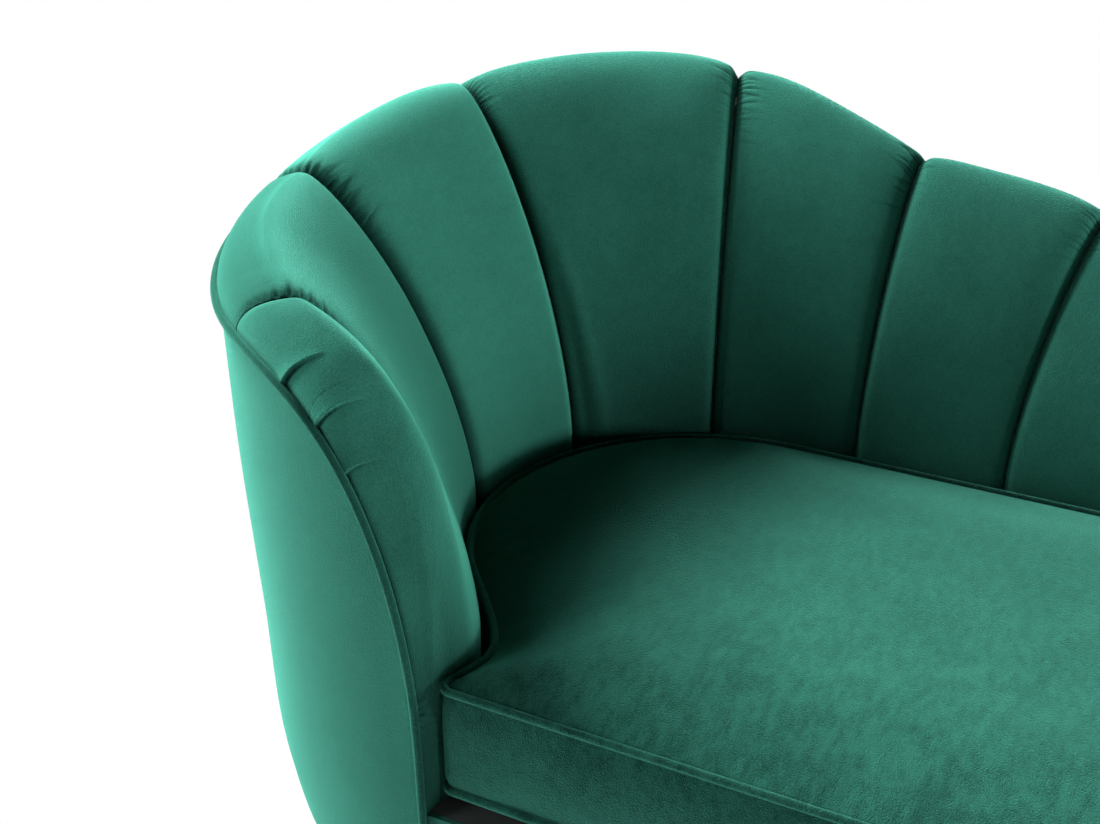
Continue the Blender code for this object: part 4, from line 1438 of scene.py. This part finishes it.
def band_path():
    """Outer line of the base in plan with its outward way: along the front, round the foot and back."""
    far_y = WALL_CY + WALL_B - float(lean(DECK_TOP))
    end = Section(LAST_SECTION)
    last_x = end.at(end.outside(DECK_TOP), 0)[0] - ORIGIN[0] + COVER_T + BAND_LAP
    r = FOOT_CORNER_R
    line, ways = [], []
    for x in np.linspace(BAND_START_X, FOOT_X - r, 60, endpoint=False):
        line.append((x, FRONT_Y))
        ways.append((0, -1))
    for corner_y, quarter in ((FRONT_Y + r, -90), (far_y - r, 0)):
        for turn in np.radians(np.linspace(quarter, quarter + 90, 16)):
            out = np.array((math.cos(turn), math.sin(turn)))
            line.append((FOOT_X - r + r * out[0], corner_y + r * out[1]))
            ways.append(out)
        if quarter < 0:
            for y in np.linspace(FRONT_Y + r, far_y - r, 32)[1:-1]:
                line.append((FOOT_X, y))
                ways.append((1, 0))
    for x in np.linspace(FOOT_X - r, last_x, 16)[1:]:
        line.append((x, far_y))
        ways.append((0, 1))
    return np.array(line), np.array(ways, float)


def seat_outline():
    """Outermost line of the cushion in plan, anticlockwise from the corner beside the arm."""
    foot = FOOT_X - CUSHION_FOOT_INSET
    r = FOOT_CORNER_R
    step, last = 0.05, 0.2
    end = Section(LAST_SECTION)
    reach = end.reach - CUSHION_FAR_INSET
    far = end.at(reach, 0)[1] - ORIGIN[1]
    line = []
    for turn in np.radians(np.linspace(180, 270, 10)):
        line.append((EAR_X + EAR_R * (1 + math.cos(turn)), CUSHION_FRONT_Y + EAR_R * (1 + math.sin(turn))))
    for corner_y, quarter in ((CUSHION_FRONT_Y + r, -90), (far - r, 0)):
        for turn in np.radians(np.linspace(quarter, quarter + 90, 24)):
            line.append((foot - r + r * math.cos(turn), corner_y + r * math.sin(turn)))
    for corner in (reach, -CUSHION_CLEAR):
        line.append(tuple(end.at(corner, 0)[:2] - ORIGIN - end.side[:2] * CUSHION_END_CLEAR))
    for u in np.arange(CHANNELS - step, last, -step):
        line.append(tuple(Section(u).at(-CUSHION_CLEAR, 0)[:2] - ORIGIN))
    return np.array(line) + ORIGIN


class CHAISE_OT_base(Operator):
    """Velvet round the base past the back, the deck under the cushion and the dust cover below"""

    bl_idname = "chaise.base"
    bl_label = "Base and deck"

    def execute(self, context):
        line, ways = band_path()
        z = DUST_Z + (DECK_TOP - DUST_Z) * np.linspace(0, 1, BAND_ROWS)
        inset = lean(z) - lean(DECK_TOP)
        plan = line[None] - inset[:, None, None] * ways[None] + ORIGIN
        points = np.concatenate((plan, np.broadcast_to(z[:, None, None], (*plan.shape[:2], 1))), axis=2)
        out = np.concatenate((ways, np.zeros((len(ways), 1))), axis=1)[None]
        edge = np.sin(np.linspace(0, math.pi, BAND_ROWS))[:, None]
        points = points + out * (BAND_WAVE_H * edge * soft_waves(points, *BAND_WAVES))[..., None]
        piece = grid_piece("velvet_base_cover", points)
        thicken(piece, COVER_T)
        hand_over(piece, "velvet_back", "frame", "base_cover")
        self.deck(line, ways)
        self.dust_cover(line, ways)
        return {"FINISHED"}

    def plan_of(self, line, ways, inset, wall):
        """Closed plan line along the base's own line, moved in, and along a wall."""
        near = line - ways * inset + ORIGIN
        return even_line(np.vstack((near, wall)), PLAN_STEP)

    def deck(self, line, ways):
        """Lining cloth that the cushion lies on, with a little sag."""
        wall = [Section(u).at(DECK_UNDER_WALL, 0)[:2] for u in np.linspace(LAST_SECTION, 0, 120)]
        outline = self.plan_of(line, ways, COVER_T + BAND_LAP, wall)
        plan, faces, away = filled_plan(outline, DECK_PITCH)
        sag = -DECK_SAG * np.clip(away / DECK_SAG_REACH, 0, 1) ** 2
        piece = mesh_piece("lining_deck", np.column_stack((plan, DECK_TOP + sag)), faces)
        thicken(piece, DECK_TOP - DECK_Z - DECK_CLEAR)
        hand_over(piece, "lining_cloth", "frame", "seat_deck")

    def dust_cover(self, line, ways):
        """Lining cloth stretched under the rails."""
        depth = float(lean(DUST_Z)) + COVER_T + BAND_LAP
        wall = []
        for u in np.linspace(LAST_SECTION, 0.5, 120):
            section = Section(u)
            wall.append(section.at(section.reach - depth, 0)[:2])
        outline = self.plan_of(line, ways, depth - float(lean(DECK_TOP)), wall)
        plan, faces, _ = filled_plan(outline, DUST_PITCH)
        points = np.column_stack((plan, np.full(len(plan), DUST_Z + DUST_UP)))
        piece = mesh_piece("lining_dust_cover", points, faces)
        thicken(piece, LINING_T)
        hand_over(piece, "lining_cloth", "frame", "dust_cover")


class CHAISE_OT_cushion(Operator):
    """Loose seat cushion with its boxing and two runs of piping"""

    bl_idname = "chaise.cushion"
    bl_label = "Cushion"

    def execute(self, context):
        values = context.scene.chaise_cushion
        outline = even_line(seat_outline(), CUSHION_STEP)
        groove = 2 * (PIPE_R + GAP)
        plan, faces, away = filled_plan(inset_line(outline, groove), CUSHION_PITCH, CUSHION_RINGS)
        rise = 1 - np.exp(-((away / CROWN_REACH) ** CROWN_POWER))
        top = np.column_stack((plan, PIPE_TOP_Z + values.crown * rise))
        top[:, 2] += values.slack * np.clip(away / SLACK_REACH, 0, 1) * soft_waves(top, *SEAT_WAVES)
        fall = np.exp(-((away / UNDER_REACH) ** UNDER_POWER))
        under = np.column_stack((plan, CUSHION_Z + (PIPE_LOW_Z - CUSHION_Z) * fall))
        flipped = [face[::-1] for face in faces]
        sheets = (top, faces), (under, flipped), self.boxing(outline, groove, values.side_in)
        piece = mesh_piece("velvet_cushion", *joined(*sheets))
        self.plump(piece, values)
        # Painted light and shade on the cushion's top and boxing.
        paint_light(piece, self.brushing(points_of(piece)))
        hand_over(piece, "velvet_seat", "cushion", "seat_cushion")
        middle = inset_line(outline, PIPE_R + GAP)
        for name, z in (("low", PIPE_LOW_Z), ("top", PIPE_TOP_Z)):
            route = np.column_stack((middle, np.full(len(middle), z)))
            pipe = piping_piece(f"velvet_cushion_piping_{name}", route, closed=True)
            # Painted shade on the piping along the back.
            paint_light(pipe, np.interp(points_of(pipe)[:, 1] - ORIGIN[1], PIPE_BACK_Y, PIPE_BACK_PAINTED_SHADE))
            hand_over(pipe, "velvet_seat", "cushion", f"cushion_piping_{name}")
        return {"FINISHED"}

    def boxing(self, outline, groove, side_in):
        """Points and faces of the upright band between the two runs of piping."""
        shares = np.linspace(0, 1, CUSHION_ROWS)
        insets = side_in + (groove - side_in) * np.abs(2 * shares - 1) ** BOXING_POWER
        trial = 0.001
        inward = (inset_line(outline, trial) - outline) / trial
        rows = []
        for share, inset in zip(shares, insets):
            z = PIPE_LOW_Z + share * (PIPE_TOP_Z - PIPE_LOW_Z)
            row = np.column_stack((inset_line(outline, inset), np.full(len(outline), z)))
            if 0 < share < 1:
                wave = BOXING_WAVE_H * math.sin(math.pi * share) * soft_waves(row, *BOXING_WAVES)
                row[:, :2] -= inward * wave[:, None]
            rows.append(row)
        count = len(outline)
        quads = []
        for first in range(0, (CUSHION_ROWS - 1) * count, count):
            for k in range(count):
                low, after = first + k, first + (k + 1) % count
                quads.append((low, after, after + count, low + count))
        return np.vstack(rows), quads

    def brushing(self, points):
        """Painted light and shade at each point: by place on the top, by length on the boxing."""
        x, y, z = (points - np.array((*ORIGIN, 0))).T
        front, back = SEAT_MIDDLE_Y
        from_head = x - SEAT_SLANT * np.maximum(y - back, 0) - SEAT_SLANT * np.maximum(front - y, 0)
        nap = np.interp(y, SEAT_Y, SEAT_Y_SHARE) * np.interp(from_head, SEAT_X, SEAT_PAINTED_SHADOW)
        nap = np.maximum(nap + np.interp(y, SEAT_Y, SEAT_Y_PAINTED_LIGHT), DARKEST_PAINTED_SHADE)
        return np.where(z > PIPE_TOP_Z + SEAM_HOLD, nap, np.interp(x, BOXING_X, BOXING_PAINTED_SHADE))

    def plump(self, piece, values):
        """Cloth blown up by its filling, held at the piping and where it rests on the deck."""
        start = points_of(piece)
        z = start[:, 2]
        seam = np.minimum(np.abs(z - PIPE_TOP_Z), np.abs(z - PIPE_LOW_Z)) < SEAM_HOLD
        held = piece.vertex_groups.new(name="held")
        held.add([int(k) for k in np.flatnonzero(seam | (z < PIPE_LOW_Z))], 1.0, "REPLACE")
        pick(piece)
        bpy.ops.object.modifier_add(type="CLOTH")
        modifier = piece.modifiers[-1]
        modifier.settings.quality = CLOTH_QUALITY
        modifier.settings.vertex_group_mass = held.name
        modifier.settings.use_pressure = True
        modifier.settings.uniform_pressure_force = values.pressure
        modifier.settings.effector_weights.gravity = 0
        scene = bpy.context.scene
        for step in range(CLOTH_STEPS):
            scene.frame_set(step + 1)
        bpy.ops.object.modifier_apply(modifier=modifier.name)
        scene.frame_set(1)
        piece.vertex_groups.clear()
        move = points_of(piece) - start
        far = np.linalg.norm(move, axis=1, keepdims=True)
        move *= np.tanh(far / values.cap) * values.cap / np.maximum(far, 1e-9)
        place_points(piece, start + move)


class CHAISE_OT_shell_piping(Operator):
    """Piping along the outer edge of the back and down the front of the arm"""

    bl_idname = "chaise.shell_piping"
    bl_label = "Shell piping"

    def execute(self, context):
        places = np.concatenate((
            np.linspace(LAST_SECTION, 1, 240),
            np.linspace(1, 0.03, 70)[1:],
            (0.015, 0.004),
        ))
        route = []
        for u in places:
            section = Section(u)
            route.append(section.pipe(section.edge_z, max(1 - u / PIPE_FORWARD_END, 0)))
        front = Section(SEAM_MARGIN)
        for z in np.linspace(route[-1][2], PIPE_FOOT_Z, 50)[1:]:
            route.append(front.pipe(z, 1))
        piece = piping_piece("velvet_shell_piping", even_line(route, PIPE_STEP, closed=False))
        paint_light(piece, np.full(len(piece.data.vertices), PIPE_DARKER))
        hand_over(piece, "velvet_back", "frame", "shell_piping")
        return {"FINISHED"}


class CHAISE_OT_legs(Operator):
    """Turned legs with their plates and glides"""

    bl_idname = "chaise.legs"
    bl_label = "Legs"

    def execute(self, context):
        for name in LEGS:
            for kind, *look in LEG_PIECES:
                self.turned(f"{kind}_{name}", *look)
        return {"FINISHED"}

    def turned(self, node, material, slot, radii, edge):
        """Turned piece in the place of a frame node, with eased rims."""
        low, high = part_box(node)
        low_r, top_r = radii
        start_afresh()
        bpy.ops.mesh.primitive_cone_add(
            vertices=LEG_SIDES, radius1=low_r, radius2=top_r, depth=high.z - low.z, location=(low + high) / 2
        )
        piece = bpy.context.object
        piece.name = piece.data.name = f"turned_{node}"
        bpy.ops.object.transform_apply(location=True, rotation=True, scale=True)
        bpy.ops.object.mode_set(mode="EDIT")
        bpy.ops.mesh.select_all(action="DESELECT")
        mesh = bmesh.from_edit_mesh(piece.data)
        for rim in mesh.edges:
            levels = {round(v.co.z, 6) for v in rim.verts}
            rim.select_set(len(levels) == 1)
        bmesh.update_edit_mesh(piece.data)
        bpy.ops.mesh.bevel(offset=edge, segments=LEG_EDGE_STEPS, affect="EDGES")
        bpy.ops.object.mode_set(mode="OBJECT")
        hand_over(piece, material, "frame", node)


class CHAISE_PT_panel(Panel):
    """Sidebar list of the chaise's values and steps"""

    bl_idname = "CHAISE_PT_panel"
    bl_label = "Chaise Longue"
    bl_space_type = "VIEW_3D"
    bl_region_type = "UI"
    bl_category = "Chaise"

    def draw(self, context):
        for name in VALUE_GROUPS:
            box = self.layout.box()
            group = getattr(context.scene, name)
            for key in group.__annotations__:
                box.prop(group, key)
        for step in STEPS:
            self.layout.operator(step.bl_idname)


VALUE_GROUPS = {
    "chaise_back": BackValues,
    "chaise_cushion": CushionValues,
    "chaise_finish": FinishValues,
    "chaise_stage": StageValues,
}
STEPS = (
    CHAISE_OT_stage,
    CHAISE_OT_finishes,
    CHAISE_OT_channels,
    CHAISE_OT_outer_cover,
    CHAISE_OT_shell_piping,
    CHAISE_OT_base,
    CHAISE_OT_cushion,
    CHAISE_OT_legs,
)
CLASSES = (*VALUE_GROUPS.values(), *STEPS, CHAISE_PT_panel)


def register():
    for kind in CLASSES:
        bpy.utils.register_class(kind)
    for name, group in VALUE_GROUPS.items():
        setattr(bpy.types.Scene, name, PointerProperty(type=group))


def unregister():
    for name in VALUE_GROUPS:
        delattr(bpy.types.Scene, name)
    for kind in reversed(CLASSES):
        bpy.utils.unregister_class(kind)


def main():
    register()
    for step in STEPS:
        family, name = step.bl_idname.split(".")
        getattr(getattr(bpy.ops, family), name)()
    start_afresh()


if __name__ == "__main__":
    main()
